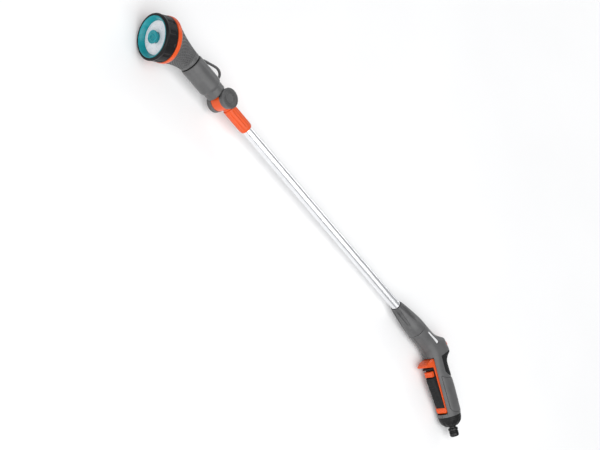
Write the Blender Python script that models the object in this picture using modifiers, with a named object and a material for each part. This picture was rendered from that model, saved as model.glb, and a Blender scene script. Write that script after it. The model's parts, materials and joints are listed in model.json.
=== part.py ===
"""Watering wand: a tilting shower head on an aluminium tube, with a pistol grip, trigger and hose nipple.

Sizes in this file are in millimetres, and each mesh is made in metres. The wand frame has its origin where
the head's tilt hinge crosses the tube's axis: +X runs along the tube to the grip, -Y is the trigger side, and
+Z is the hinge axis. The whole wand then lies on its side on the ground, on the head's rim and the grip.
"""

import math

import bmesh
import bpy
from mathutils import Matrix, Vector

MM = 0.001
GAP = 0.3                      # left between pieces that touch
COLLECTION = "watering_wand"

# Lying on the ground: turns of the wand frame about its X and Y axes, in degrees.
REST_ROLL = -3.37
REST_PITCH = 1.42

# Directions in the wand's X-Y plane, in degrees from +X towards the trigger side.
FACE_BEND = 142.63             # the way the spray face looks
GRIP_BEND = 34.06              # the grip, from the elbow to the hose
DIAL_BEND = -72.9              # the way the flow dial looks

FACE_CENTRE = (-155.2, -22.6)
ELBOW = (591.0, 0.0)
DIAL_SEAT = (608.5, 21.2)

# Head
RIM_R = 35.8
LIP_R = 36.6                   # the ring's widest place, at the rim's front plane
INDEX_R = 36.5
INDEX_FRONT = -20.4            # heights along the face axis, from the rim's front plane
INDEX_BACK = -27.5
BEZEL_R = 32.4
DISH_R = 26.4
PLATE_TOP = -6.4
HEAD_BODY_R = 18.8
HEAD_BODY_START = -79.0        # distances along the tube's axis
FUNNEL_END = -80.5
FUNNEL_WIDE_R = 35.4
FUNNEL_NARROW_R = 17.3
FUNNEL_WALL = 2.4

# Tilt hinge
BARREL_R = 15.4
BARREL_HALF = 9.2
CHEEK_R = 15.8
CHEEK_INSIDE = 9.6
CHEEK_OUTSIDE = 15.2
CAP_R = {"near": 16.6, "far": 15.8}
CAP_OUTSIDE = 18.75
AXLE_R = 6.0
AXLE_BORE_R = 6.35

# Lance
TUBE_R = 8.5
TUBE_WALL = 1.0
TUBE_START = 22.6
TUBE_END = 552.0
SLEEVE_R = 10.6
SLEEVE_END = 63.0
NOSE_START = 483.2
NOSE_END = 545.2

# Grip shells: a straight barrel, an arc of this radius, then the straight grip
BARREL_START = 545.6
ARC_START = 573.0
ARC_RADIUS = 58.8
GRIP_TOP = 18.0                # where the arc ends, along the grip's axis from the elbow
GRIP_END = 121.6
ROW_PLACES = [15.3, 21, 27, 36, 48, 60, 80, 100, 107, 113, GRIP_END]   # the straight grip's sections
SHELL_WALL = 3.0
SHELL_COLUMNS = 11             # points on each half section

# Trigger, in the grip frame: "along" runs down the grip, "out" runs towards the fingers
TRIGGER_PIVOT = (108.0, 11.0)
TRIGGER_HALF = 10.8
TRIGGER_SLOT_HALF = 11.3
PAD_HALF = 8.3
PLUNGER_ALONG = 70.0
PIPE_OUT = -6.2                # the water pipe's axis, behind the grip's axis

GREY = ((0.130, 0.131, 0.135), 0.42, 0.0)
DARK_GREY = ((0.035, 0.036, 0.038), 0.50, 0.0)
BLACK = ((0.012, 0.012, 0.013), 0.45, 0.0)
SOFT_BLACK = ((0.016, 0.016, 0.017), 0.80, 0.0)
RUBBER = ((0.010, 0.010, 0.010), 0.85, 0.0)
ORANGE = ((0.860, 0.120, 0.018), 0.38, 0.0)
TEAL = ((0.000, 0.345, 0.400), 0.30, 0.0)
SILVER = ((0.780, 0.790, 0.800), 0.30, 0.4)
WHITE = ((0.850, 0.850, 0.850), 0.35, 0.0)
ALUMINIUM = ((0.800, 0.810, 0.820), 0.22, 1.0)
STEEL = ((0.620, 0.620, 0.630), 0.25, 1.0)
NATURAL = ((0.620, 0.600, 0.540), 0.50, 0.0)


# ---------------------------------------------------------------- scene and helpers

def clear_scene():
    for obj in list(bpy.data.objects):
        bpy.data.objects.remove(obj, do_unlink=True)


def new_collection(name):
    collection = bpy.data.collections.new(name)
    bpy.context.scene.collection.children.link(collection)
    return collection


def material(name, finish):
    colour, roughness, metallic = finish
    mat = bpy.data.materials.new(name)
    mat.use_nodes = True
    shader = mat.node_tree.nodes["Principled BSDF"]
    shader.inputs["Base Color"].default_value = (*colour, 1.0)
    shader.inputs["Roughness"].default_value = roughness
    shader.inputs["Metallic"].default_value = metallic
    mat.diffuse_color = (*colour, 1.0)
    return mat


def frame(name, parent, matrix):
    """An empty that carries the pieces of one region."""
    empty = bpy.data.objects.new(name, None)
    parts.objects.link(empty)
    empty.parent = parent
    empty.matrix_local = matrix
    return empty


def bent_frame(name, parent, centre, bend):
    """Local Z points along the bend, local X to the trigger side of it, and local Y to the ground side."""
    angle = math.radians(bend)
    along = Vector((math.cos(angle), -math.sin(angle), 0))
    out = Vector((-math.sin(angle), -math.cos(angle), 0))
    down = Vector((0, 0, -1))
    matrix = Matrix((out, down, along)).transposed().to_4x4()
    matrix.translation = Vector((centre[0], centre[1], 0)) * MM
    return frame(name, parent, matrix)


def place(name, data, parent, finish=None, matrix=None):
    """Adds a part, or a cutter where no finish is given."""
    obj = bpy.data.objects.new(name, data)
    obj.parent = parent
    if matrix:
        obj.matrix_local = matrix
    if finish:
        data.materials.append(material(name, finish))
        parts.objects.link(obj)
    else:
        obj.hide_render = True
        obj.display_type = "WIRE"
        cutters.objects.link(obj)
    return obj


def shift(x=0.0, y=0.0, z=0.0):
    return Matrix.Translation(Vector((x, y, z)) * MM)


def turned(name, parent, outer, inner=None, finish=None, segments=24, matrix=None):
    """A profile of (radius, height) points, listed from low to high, turned about local Z."""
    outline = list(reversed(outer))
    if inner:
        outline += inner
    else:
        outline = [(0, outer[-1][1])] + outline + [(0, outer[0][1])]
    edges = [(i, i + 1) for i in range(len(outline) - 1)]
    if inner:
        edges.append((len(outline) - 1, 0))
    mesh = bpy.data.meshes.new(name)
    mesh.from_pydata([(radius * MM, 0, height * MM) for radius, height in outline], edges, [])
    obj = place(name, mesh, parent, finish, matrix)
    screw = obj.modifiers.new("Turn", "SCREW")
    screw.steps = segments
    screw.render_steps = segments
    screw.use_merge_vertices = True
    screw.merge_threshold = 0.00001
    screw.use_smooth_shade = True
    return obj


def o_ring(name, parent, radius, thickness, height, matrix=None, segments=14):
    """A rubber ring of round section about local Z."""
    around = [2 * math.pi * k / 5 for k in range(5)]
    section = [(radius + thickness * math.sin(a), height + thickness * math.cos(a)) for a in around]
    return turned(name, parent, section[:1], section[1:], RUBBER, segments, matrix)


def outlined(name, parent, outline, half_width, finish=None, matrix=None):
    """A flat outline in local X-Y, given depth both ways along local Z and made a mesh."""
    curve = bpy.data.curves.new(name, "CURVE")
    curve.dimensions = "2D"
    curve.fill_mode = "BOTH"
    curve.extrude = half_width * MM
    spline = curve.splines.new("POLY")
    spline.points.add(len(outline) - 1)
    for point, (x, y) in zip(spline.points, outline):
        point.co = (x * MM, y * MM, 0, 1)
    spline.use_cyclic_u = True
    return mesh_from_curve(name, curve, parent, finish, matrix)


def mesh_from_curve(name, curve, parent, finish, matrix=None):
    guide = bpy.data.objects.new(name + "_curve", curve)
    bpy.context.scene.collection.objects.link(guide)
    graph = bpy.context.evaluated_depsgraph_get()
    mesh = bpy.data.meshes.new_from_object(guide.evaluated_get(graph))
    bpy.data.objects.remove(guide, do_unlink=True)
    weld(mesh)
    mesh.materials.clear()
    return place(name, mesh, parent, finish, matrix)


def weld(mesh):
    work = bmesh.new()
    work.from_mesh(mesh)
    bmesh.ops.remove_doubles(work, verts=work.verts, dist=0.000002)
    bmesh.ops.recalc_face_normals(work, faces=work.faces)
    work.to_mesh(mesh)
    work.free()


def wire(name, parent, points, radius, finish, sides=2):
    """A round bar with filled ends through a list of points."""
    curve = bpy.data.curves.new(name, "CURVE")
    curve.dimensions = "3D"
    curve.bevel_depth = radius * MM
    curve.bevel_resolution = sides
    curve.use_fill_caps = True
    spline = curve.splines.new("POLY")
    spline.points.add(len(points) - 1)
    for point, co in zip(spline.points, points):
        point.co = (*[value * MM for value in co], 1)
    return mesh_from_curve(name, curve, parent, finish)


def box(name, parent, low, high, matrix=None):
    """A block cutter between two corners."""
    size = [b - a for a, b in zip(low, high)]
    middle = [(a + b) / 2 for a, b in zip(low, high)]
    mesh = bpy.data.meshes.new(name)
    work = bmesh.new()
    bmesh.ops.create_cube(work, size=MM)
    bmesh.ops.scale(work, vec=size, verts=work.verts)
    bmesh.ops.translate(work, vec=Vector(middle) * MM, verts=work.verts)
    work.to_mesh(mesh)
    work.free()
    return place(name, mesh, parent, None, matrix)


def rods(name, parent, places, radius, low, high, sides=16, matrix=None):
    """Cylinder cutters along local Z at each (x, y), in one object."""
    mesh = bpy.data.meshes.new(name)
    work = bmesh.new()
    for x, y in places:
        middle = Matrix.Translation(Vector((x, y, (low + high) / 2)) * MM)
        bmesh.ops.create_cone(work, cap_ends=True, segments=sides, radius1=radius * MM, radius2=radius * MM,
                              depth=(high - low) * MM, matrix=middle)
    work.to_mesh(mesh)
    work.free()
    return place(name, mesh, parent, None, matrix)


def combine(obj, tool, operation="DIFFERENCE"):
    boolean = obj.modifiers.new(tool.name, "BOOLEAN")
    boolean.operation = operation
    boolean.solver = "EXACT"
    boolean.object = tool


def circle_places(radius, count, start=0.0):
    step = 2 * math.pi / count
    return [(radius * math.cos(start + k * step), radius * math.sin(start + k * step)) for k in range(count)]


def shell_mesh(name, rows_out, rows_in, loop=False):
    """A closed solid between two grids of points that match row by row. In a loop, each row meets itself."""
    rows, columns = len(rows_out), len(rows_out[0])
    verts = [p for row in rows_out for p in row] + [p for row in rows_in for p in row]
    half = rows * columns
    steps = [(j, (j + 1) % columns) for j in range(columns if loop else columns - 1)]
    faces = []
    for i in range(rows - 1):
        for j, k in steps:
            a, b, c, d = i * columns + j, (i + 1) * columns + j, (i + 1) * columns + k, i * columns + k
            faces.append((a, b, c, d))
            faces.append((half + a, half + d, half + c, half + b))
    for j, k in steps:
        for i in (0, rows - 1):
            a, d = i * columns + j, i * columns + k
            faces.append((a, d, half + d, half + a))
    for j in [] if loop else (0, columns - 1):
        for i in range(rows - 1):
            a, b = i * columns + j, (i + 1) * columns + j
            faces.append((a, b, half + b, half + a))
    mesh = bpy.data.meshes.new(name)
    mesh.from_pydata([Vector(p) * MM for p in verts], [], faces)
    weld(mesh)
    return mesh


# ---------------------------------------------------------------- head

def turret():
    """The part of the head that turns to choose a spray pattern."""
    outer = [(35.2, -20.0), (RIM_R, -19.4), (RIM_R, -3.4), (LIP_R, -0.2), (35.4, 1.6), (33.6, 2.4)]
    inner = [(33.3, -20.0), (33.3, -15.0), (29.2, -15.0), (29.2, -13.0), (32.8, -13.0), (32.8, 2.2)]
    ring = turned("selector_ring", face, outer, inner, SOFT_BLACK, 28)
    notches = rods("ring_notches", face, circle_places(RIM_R + 2.2, 12), 3.0, -17.0, -3.5, 6)
    combine(ring, notches)

    outer = [(30.2, -12.6), (BEZEL_R, -12.6), (BEZEL_R, 1.6), (31.6, 2.3)]
    inner = [(30.2, -10.1), (8.9, -10.1), (8.9, -8.1), (DISH_R, -8.1), (DISH_R, -5.8), (30.6, 1.6)]
    turned("bezel", face, outer, inner, TEAL, 26)

    radius = DISH_R - GAP
    plate = turned("spray_plate", face, [(radius, -7.8), (radius, PLATE_TOP)],
                   [(8.8, -7.8), (8.8, PLATE_TOP)], SILVER, 26)
    for hole_circle, count in ((14.5, 6), (21.0, 10)):
        combine(plate, rods(f"spray_holes_{count}", face, circle_places(hole_circle, count), 0.9, -9, -5, 4))

    outer = [(8.5, -9.7), (8.4, -4.6), (10.3, -0.6), (10.5, 1.1), (9.7, 1.9)]
    turned("centre_nozzle", face, outer, [(1.9, -9.7), (1.9, 0.4), (7.9, 1.4)], TEAL, 18)

    disc = turned("pattern_disc", face, [(29.8, -12.6), (29.8, -10.1)],
                  [(2.5, -12.6), (2.5, -12.1), (4.1, -12.1), (4.1, -10.1)], NATURAL, 22)
    combine(disc, rods("pattern_ports", face, circle_places(16, 3), 3.6, -14, -9, 8))


def face_block():
    """The fixed pieces behind the turret: plate, seal, screw, detent and index ring."""
    inner = [(30.3, -27.0), (30.3, -18.5), (2.4, -18.5), (2.4, -15.4)]
    plate = turned("head_plate", face, [(32.7, -27.0), (32.7, -15.4)], inner, BLACK, 24)
    combine(plate, rods("head_port", face, [(16, 0)], 3.4, -20, -14, 10))

    turned("turret_seal", face, [(5.2, -15.0), (5.2, -13.0)], [(3.6, -15.0), (3.6, -13.0)], RUBBER, 16,
           shift(16, 0, 0))
    turned("turret_screw", face, [(2.0, -22.5), (2.0, -11.8), (3.7, -11.7), (3.7, -10.0)], None, STEEL, 14)

    leaf = [(-7, -15.0), (7, -15.0), (7, -14.5), (3.5, -14.4), (1.2, -13.1), (-1.2, -13.1), (-3.5, -14.4),
            (-7, -14.5)]
    stand = Matrix.Rotation(math.pi / 2, 4, "X")
    outlined("detent_spring", face, leaf, 2.0, STEEL, shift(0, 23, 0) @ stand)

    outer = [(35.9, INDEX_BACK), (INDEX_R, INDEX_BACK + 0.6), (INDEX_R, INDEX_FRONT - 0.6),
             (35.9, INDEX_FRONT)]
    turned("index_ring", face, outer, [(33.1, INDEX_BACK), (33.1, INDEX_FRONT)], ORANGE, 32)


def bow(start, pull, end, u):
    """A point on a quadratic curve from start to end that leans towards pull."""
    return tuple((1 - u) ** 2 * a + 2 * u * (1 - u) * b + u ** 2 * c for a, b, c in zip(start, pull, end))


def funnel_sections(inset):
    """Rings from the tilted back of the head to the round end on the tube's axis."""
    angle = math.radians(FACE_BEND)
    depth = INDEX_BACK - 0.4
    centre = (FACE_CENTRE[0] + depth * math.cos(angle), FACE_CENTRE[1] - depth * math.sin(angle))
    wide, narrow = FUNNEL_WIDE_R - inset, FUNNEL_NARROW_R - inset
    tip = (math.sin(angle) * wide, math.cos(angle) * wide)
    front_start = (centre[0] + tip[0], centre[1] + tip[1])
    back_start = (centre[0] - tip[0], centre[1] - tip[1])
    turns = [2 * math.pi * j / 24 for j in range(24)]
    rings = []
    steps = 6
    for k in range(steps + 1):
        u = k / steps
        front = bow(front_start, (-98, -21.4 + inset), (FUNNEL_END, -narrow), u)
        back = bow(back_start, (-116, 17.9 - inset), (FUNNEL_END, narrow), u)
        half = bow((wide,), (19.5 - inset,), (narrow,), u)[0]
        middle = [(a + b) / 2 for a, b in zip(front, back)]
        reach = [(b - a) / 2 for a, b in zip(front, back)]
        rings.append([(middle[0] + reach[0] * math.cos(turn), middle[1] + reach[1] * math.cos(turn),
                       half * math.sin(turn)) for turn in turns])
    return rings


def head_housing():
    mesh = shell_mesh("funnel", funnel_sections(0), funnel_sections(FUNNEL_WALL), loop=True)
    place("funnel", mesh, wand, GREY)
    o_ring("funnel_o_ring", lance, 16.3, 0.45, (FUNNEL_END + HEAD_BODY_START) / 2, None, 16)
    turned("throat_ring", lance, [(14.4, -89.0), (14.4, -81.2)], [(5.9, -89.0), (5.9, -81.2)], RUBBER, 16)
    turned("head_water_tube", lance, [(5.5, -91), (5.5, -17.8)], [(4.0, -91), (4.0, -17.8)], NATURAL, 16)

    outer = [(18.1, HEAD_BODY_START), (HEAD_BODY_R, -77.6), (HEAD_BODY_R, -31), (16.2, -26.5), (16.2, -17.6),
             (15.1, -16.5), (15.0, -14.6)]
    inner = [(15.6, HEAD_BODY_START), (15.6, -36), (5.9, -33), (5.9, -14.6)]
    body = turned("head_body", lance, outer, inner, GREY, 20)
    thickness = CHEEK_OUTSIDE - CHEEK_INSIDE
    for side, low in (("near", CHEEK_INSIDE), ("far", -CHEEK_OUTSIDE)):
        combine(body, rods(f"cheek_{side}", wand, [(0, 0)], CHEEK_R, low, low + thickness, 20), "UNION")
        web = box(f"cheek_web_{side}", wand, (-25, -6.4, low + 0.1), (-3, 6.4, low + thickness - 0.9))
        combine(body, web, "UNION")
    combine(body, rods("barrel_room", wand, [(0, 0)], BARREL_R + 0.5, -CHEEK_INSIDE, CHEEK_INSIDE, 20))
    combine(body, rods("axle_bore", wand, [(0, 0)], AXLE_BORE_R, -20, 20, 14))


def hanging_loop():
    """A thin bow on the back of the head, for hanging the wand on a hook."""
    knots = [(-66.8, 21.0), (-62.0, 24.5), (-52, 28.8), (-43, 32.6), (-35.5, 34.4), (-29.2, 32.0),
             (-26.2, 26.0), (-26.2, 19.0)]
    route = []
    for a, b, c, d in zip([knots[0]] + knots, knots, knots[1:], knots[2:] + [knots[-1]]):
        for u in (0, 0.5):
            route.append(spline_point(a, b, c, d, u))
    route.append(knots[-1])
    wire("hanging_loop", wand, [(x, y, 0) for x, y in route], 2.2, GREY)


def spline_point(a, b, c, d, u):
    """A point between b and c on a smooth curve through a, b, c and d."""
    return tuple(0.5 * (2 * q + (r - p) * u + (2 * p - 5 * q + 4 * r - s) * u ** 2
                        + (3 * q - p - 3 * r + s) * u ** 3) for p, q, r, s in zip(a, b, c, d))


def tilt_hinge():
    for side, turn in (("near", 0), ("far", math.pi)):
        radius = CAP_R[side]
        outer = [(radius, CHEEK_OUTSIDE + GAP), (radius, CAP_OUTSIDE - 0.9), (radius - 0.9, CAP_OUTSIDE),
                 (12.4, CAP_OUTSIDE), (11.8, CAP_OUTSIDE - 0.5)]
        turned("pivot_cap_" + side, wand, outer, None, GREY, 24, Matrix.Rotation(turn, 4, "X"))

    outer = [(AXLE_R, -15), (AXLE_R, -9), (5.0, -9), (5.0, -7.4), (AXLE_R, -7.4), (AXLE_R, 7.4), (5.0, 7.4),
             (5.0, 9), (AXLE_R, 9), (AXLE_R, 15)]
    axle = turned("pivot_axle", wand, outer, [(3.4, -15), (3.4, 15)], NATURAL, 14)
    combine(axle, rods("axle_port", lance, [(0, 0)], 2.6, -9, 9, 8))
    o_ring("pivot_o_ring_near", wand, 5.68, 0.48, 8.2)
    o_ring("pivot_o_ring_far", wand, 5.68, 0.48, -8.2)


# ---------------------------------------------------------------- lance

def lance_parts():
    socket = TUBE_R + GAP
    outer = [(8.9, 8), (8.9, 16.4), (SLEEVE_R, 17.4), (SLEEVE_R, SLEEVE_END - 4.5), (10.1, SLEEVE_END - 1.8),
             (9.3, SLEEVE_END)]
    inner = [(4.6, 8), (4.6, TUBE_START - GAP), (socket, TUBE_START - GAP), (socket, 39.2), (9.7, 39.2),
             (9.7, 41.4), (socket, 41.4), (socket, SLEEVE_END)]
    sleeve = turned("lance_sleeve", lance, outer, inner, ORANGE, 20)
    combine(sleeve, rods("hinge_barrel", wand, [(0, 0)], BARREL_R, -BARREL_HALF, BARREL_HALF, 20), "UNION")
    combine(sleeve, rods("barrel_bore", wand, [(0, 0)], AXLE_BORE_R, -20, 20, 14))
    combine(sleeve, rods("sleeve_channel", lance, [(0, 0)], 4.5, 3, 12, 10))

    inside = TUBE_R - TUBE_WALL
    turned("lance_tube", lance, [(TUBE_R, TUBE_START), (TUBE_R, TUBE_END)],
           [(inside, TUBE_START), (inside, TUBE_END)], ALUMINIUM, 24)
    o_ring("tube_o_ring_front", lance, 9.13, 0.42, 40.3, None, 14)

    outer = [(10.5, NOSE_START), (12.7, 496), (15.1, 516), (16.9, 531), (17.3, 538), (17.3, NOSE_END)]
    inner = [(socket, NOSE_START), (socket, 509), (9.7, 509), (9.7, 511.2), (socket, 511.2), (socket, 521),
             (14.3, 528), (14.3, NOSE_END)]
    cone = turned("nose_cone", lance, outer, inner, GREY, 20)
    rise = math.atan2(16.7 - 11.9, 531 - 496)
    for k in range(6):
        around = Matrix.Rotation(math.radians(60 * k + 30), 4, "Z")
        lie = around @ shift(14.9, 0, 512) @ Matrix.Rotation(rise, 4, "Y")
        combine(cone, box(f"cone_flute_{k}", lance, (-0.9, -1.7, -17), (3.0, 1.7, 17), lie))
    o_ring("tube_o_ring_rear", lance, 9.13, 0.42, 510.1, None, 14)
    inner = [(socket, 547), (socket, 551.8), (11.0, 552.2), (11.0, 556)]
    turned("tube_bush", lance, [(13.6, 547), (13.6, 556)], inner, DARK_GREY, 18)


# ---------------------------------------------------------------- grip shells

def barrel_at(x):
    return (x, 0.0), 0.0


def elbow_at(bend):
    angle = math.radians(bend)
    x = ARC_START + ARC_RADIUS * math.sin(angle)
    return (x, ARC_RADIUS * math.cos(angle) - ARC_RADIUS), bend


def grip_at(along):
    angle = math.radians(GRIP_BEND)
    return (ELBOW[0] + along * math.cos(angle), ELBOW[1] - along * math.sin(angle)), GRIP_BEND


# Each section: its place, then how far it reaches to the front, to the back and to each side, and how square
# its back is. A squareness of 2 is an ellipse.
SECTIONS = [
    (barrel_at(BARREL_START), 17.4, 17.0, 17.2, 2.0),
    (barrel_at(560), 17.6, 17.0, 17.2, 2.0),
    (barrel_at(571), 17.6, 16.9, 17.2, 2.1),
    (elbow_at(5.2), 17.8, 18.0, 17.3, 2.6),
    (elbow_at(11.3), 17.9, 22.8, 17.4, 3.6),
    (elbow_at(16.0), 17.7, 28.1, 17.5, 4.6),
    (elbow_at(23.84), 17.4, 28.7, 17.6, 4.6),
    (elbow_at(31.4), 17.7, 30.8, 17.5, 4.2),
    (grip_at(21), 18.2, 25.0, 17.3, 3.2),
    (grip_at(27), 18.5, 21.1, 17.2, 2.5),
    (grip_at(36), 18.8, 19.7, 17.2, 2.3),
    (grip_at(48), 19.0, 20.4, 17.4, 2.3),
    (grip_at(60), 19.0, 21.4, 17.7, 2.3),
    (grip_at(80), 19.0, 21.9, 18.1, 2.3),
    (grip_at(100), 19.0, 21.5, 18.3, 2.3),
    (grip_at(107), 19.0, 20.9, 18.4, 2.3),
    (grip_at(113), 19.1, 20.9, 18.6, 2.3),
    (grip_at(GRIP_END), 19.5, 21.3, 18.9, 2.1),
]


def between(place_index):
    """The section at a fractional place in SECTIONS."""
    k = min(int(place_index), len(SECTIONS) - 2)
    u = place_index - k
    (point_a, bend_a), *sizes_a = SECTIONS[k]
    (point_b, bend_b), *sizes_b = SECTIONS[k + 1]
    point = [a + (b - a) * u for a, b in zip(point_a, point_b)]
    sizes = [a + (b - a) * u for a, b in zip(sizes_a, sizes_b)]
    return point, bend_a + (bend_b - bend_a) * u, sizes


def section_point(place_index, turn, offset, lift=0.0):
    """A point on the grip's outside, turned in degrees from the front, moved outwards by offset."""
    (x, y), bend, (front, back, side, square) = between(place_index)
    c, s = math.cos(math.radians(turn)), math.sin(math.radians(turn))
    power = 2 / (2.2 if c > 0 else square)
    reach = (front if c > 0 else back) + offset
    out = math.copysign(reach * abs(c) ** power, c)
    wide = math.copysign((side + offset - lift) * abs(s) ** power + lift, s)
    angle = math.radians(bend)
    return (x - out * math.sin(angle), y - out * math.cos(angle), wide)


def grip_half(name, side):
    """One moulded half of the grip, which stops just short of the parting plane."""
    turns = [180 * j / (SHELL_COLUMNS - 1) for j in range(SHELL_COLUMNS)]
    surfaces = []
    for offset in (0, -SHELL_WALL):
        rows = [[section_point(i, turn, offset, GAP / 2) for turn in turns] for i in range(len(SECTIONS))]
        surfaces.append([[(x, y, side * wide) for x, y, wide in row] for row in rows])
    return place(name, shell_mesh(name, *surfaces), wand, GREY)


def grip_row(along):
    """The fractional place in SECTIONS at a distance along the straight grip."""
    first = len(SECTIONS) - len(ROW_PLACES)
    for k, (a, b) in enumerate(zip(ROW_PLACES, ROW_PLACES[1:])):
        if along <= b or b == ROW_PLACES[-1]:
            return first + k + (along - a) / (b - a)


def skin(name, lines, low, high, finish=None, points=8, room=0.0):
    """A patch that follows the grip's outside. Each line is the (row, turn) where it starts and ends.

    A recess has the patch's own points, and one more at both ends of each line, which run on by the room.
    """
    steps = [j / (points - 1) for j in range(points)]
    outside, inside = [], []
    for start, end in lines:
        places = [[a + (b - a) * u for a, b in zip(start, end)] for u in steps]
        if room:
            places = [[start[0] - room, start[1]]] + places + [[end[0] + room, end[1]]]
        outside.append([section_point(row, turn, high) for row, turn in places])
        inside.append([section_point(row, turn, low) for row, turn in places])
    return place(name, shell_mesh(name, outside, inside), wand, finish)


def lengthwise(outline, margin=0.0):
    """Lines along the grip from (turn, start, end) for half a piece, which is the same on both sides."""
    near = [(turn, grip_row(start), grip_row(end)) for turn, start, end in outline]
    both = near + [(360 - turn, start, end) for turn, start, end in reversed(near[:-1])]
    if margin:
        first, last = both[0], both[-1]
        both = [(first[0] - margin, *first[1:])] + both + [(last[0] + margin, *last[1:])]
    return [((start, turn), (end, turn)) for turn, start, end in both]


def grip_shells():
    near = grip_half("handle_shell_near", 1)
    far = grip_half("handle_shell_far", -1)
    slot = box("trigger_slot", grip, (5, -TRIGGER_SLOT_HALF, 15.6), (45, TRIGGER_SLOT_HALF, 115.8))
    pin_room = rods("pin_room", wand, [trigger_pivot_in_wand()], 2.3, -12.9, 12.9, 14)
    dial_room = rods("dial_room", dial, [(0, 0)], 3.1, -8, 4, 16)

    pad = [(90, 17.5, 45), (96, 16.5, 49), (110, 15.7, 53.2), (140, 15.4, 56.5), (180, 15.4, 57.3)]
    skin("rear_grip_pad", lengthwise(pad), -1.4, 0.2, SOFT_BLACK)
    panel = [(57, 52, 107), (62, 50.8, 110.5), (70, 52.4, 113), (85, 56, 115.6), (105, 58.4, 117.4),
             (140, 59.4, 118), (180, 60, 118)]
    skin("rear_panel", lengthwise(panel), -1.3, 0.5, GREY)
    pockets = [skin("pad_recess", lengthwise(pad, 1.6), -2.1, 3, None, room=0.05),
               skin("panel_recess", lengthwise(panel, 1.6), -2.3, 3, None, room=0.05)]

    badge = [(0.8, 93.5, 104.5), (2, 93.5, 106.5), (3, 91.5, 103.5), (4, 90.3, 96)]
    for side, shell in (("near", near), ("far", far)):
        mirrored = badge if side == "near" else [(row, 360 - end, 360 - start) for row, start, end in badge]
        lines = [((row, start), (row, end)) for row, start, end in mirrored]
        skin("badge_strip_" + side, lines, -1.0, 0.25, WHITE, 4)
        row, start, end = mirrored[0]
        lines.insert(0, ((row - 0.05, start), (row - 0.05, end)))
        row, start, end = mirrored[-1]
        lines.append(((row + 0.05, start), (row + 0.05, end)))
        wider = [((row, start - 1.5), (row, end + 1.5)) for (row, start), (_, end) in lines]
        combine(shell, skin(f"badge_{side}_recess", wider, -1.4, 3, None, 4))
    for shell in (near, far):
        for tool in [slot, pin_room, dial_room] + pockets:
            combine(shell, tool)


def trigger_pivot_in_wand():
    (x, y), bend = grip_at(TRIGGER_PIVOT[0])
    angle = math.radians(bend)
    return x - TRIGGER_PIVOT[1] * math.sin(angle), y - TRIGGER_PIVOT[1] * math.cos(angle)


# ---------------------------------------------------------------- trigger and valve

# Turns an outline of (along, out) points to stand in the grip frame, with its depth to both sides.
SIDE_ON = Matrix(((0, 1, 0, 0), (0, 0, 1, 0), (1, 0, 0, 0), (0, 0, 0, 1)))


def trigger_front(along):
    """How far out the trigger's frame reaches beside its pad."""
    return 19.0 - (along - 36) * 0.0204


def trigger_parts():
    back = [(114.6, 9.2), (111.6, 6.5), (104, 6.5), (98, 9.0), (40, 11.6), (21, 13.4), (17.3, 14.6)]
    beak = [(17.3, 18.2), (18.6, 24.5), (20.8, 30.5), (24.8, 37.0), (27.2, 37.0), (29.0, 31.5), (30.4, 24.5),
            (31.4, 19.4)]
    foot = [(36, trigger_front(36)), (104.0, trigger_front(104)), (106.4, 18.4), (112.4, 17.8), (114.8, 14.6)]
    outline = back + beak + foot
    frame_piece = outlined("trigger", grip, outline, TRIGGER_HALF, ORANGE, SIDE_ON)
    pocket = [(30.6, trigger_front(30.6) - 1.6), (30.6, 30), (104.1, 30), (104.1, trigger_front(104.1) - 1.6)]
    combine(frame_piece, outlined("pad_pocket", grip, pocket, PAD_HALF + 0.3, None, SIDE_ON))
    channel = [(22, 0), (22, trigger_front(22) - 4.8), (101, trigger_front(101) - 4.8), (101, 0)]
    combine(frame_piece, outlined("trigger_channel", grip, channel, 8.3, None, SIDE_ON))
    stem_slot = box("stem_slot", grip, (9, -3, 36.6), (30, 3, 46.6))
    combine(frame_piece, stem_slot)
    combine(frame_piece, rods("trigger_bore", wand, [trigger_pivot_in_wand()], 2.3, -20, 20, 14))
    turned("trigger_pin", wand, [(2.0, -12.6), (2.0, 12.6)], None, STEEL, 12, shift(*trigger_pivot_in_wand()))

    base = [(along, trigger_front(along) - 1.3) for along in (103.8, 30.9)]
    ledge = [(30.9, 22.6), (31.8, 27.0), (34.3, 27.0), (34.3, trigger_front(34.3) + 0.6),
             (47.6, trigger_front(47.6) + 0.6)]
    crown = [(47.9, 26.0), (49.6, 28.5), (57, 28.7), (70, 26.3), (81, 24.3), (92, 22.1), (100.5, 19.9),
             (103.8, 17.7)]
    pad = outlined("trigger_pad", grip, base + ledge + crown, PAD_HALF, SOFT_BLACK, SIDE_ON)
    combine(pad, stem_slot)

    button = [(along, trigger_front(along) + 0.95) for along in (47.2, 37.5)]
    button += [(37.5, 26.4), (38.8, 27.7), (46.0, 27.8), (47.2, 26.4)]
    lock = outlined("trigger_lock", grip, button, 7.5, ORANGE, SIDE_ON)
    combine(lock, box("lock_stem", grip, (13.2, -2.6, 40.2), (23, 2.6, 46.2)), "UNION")


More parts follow.
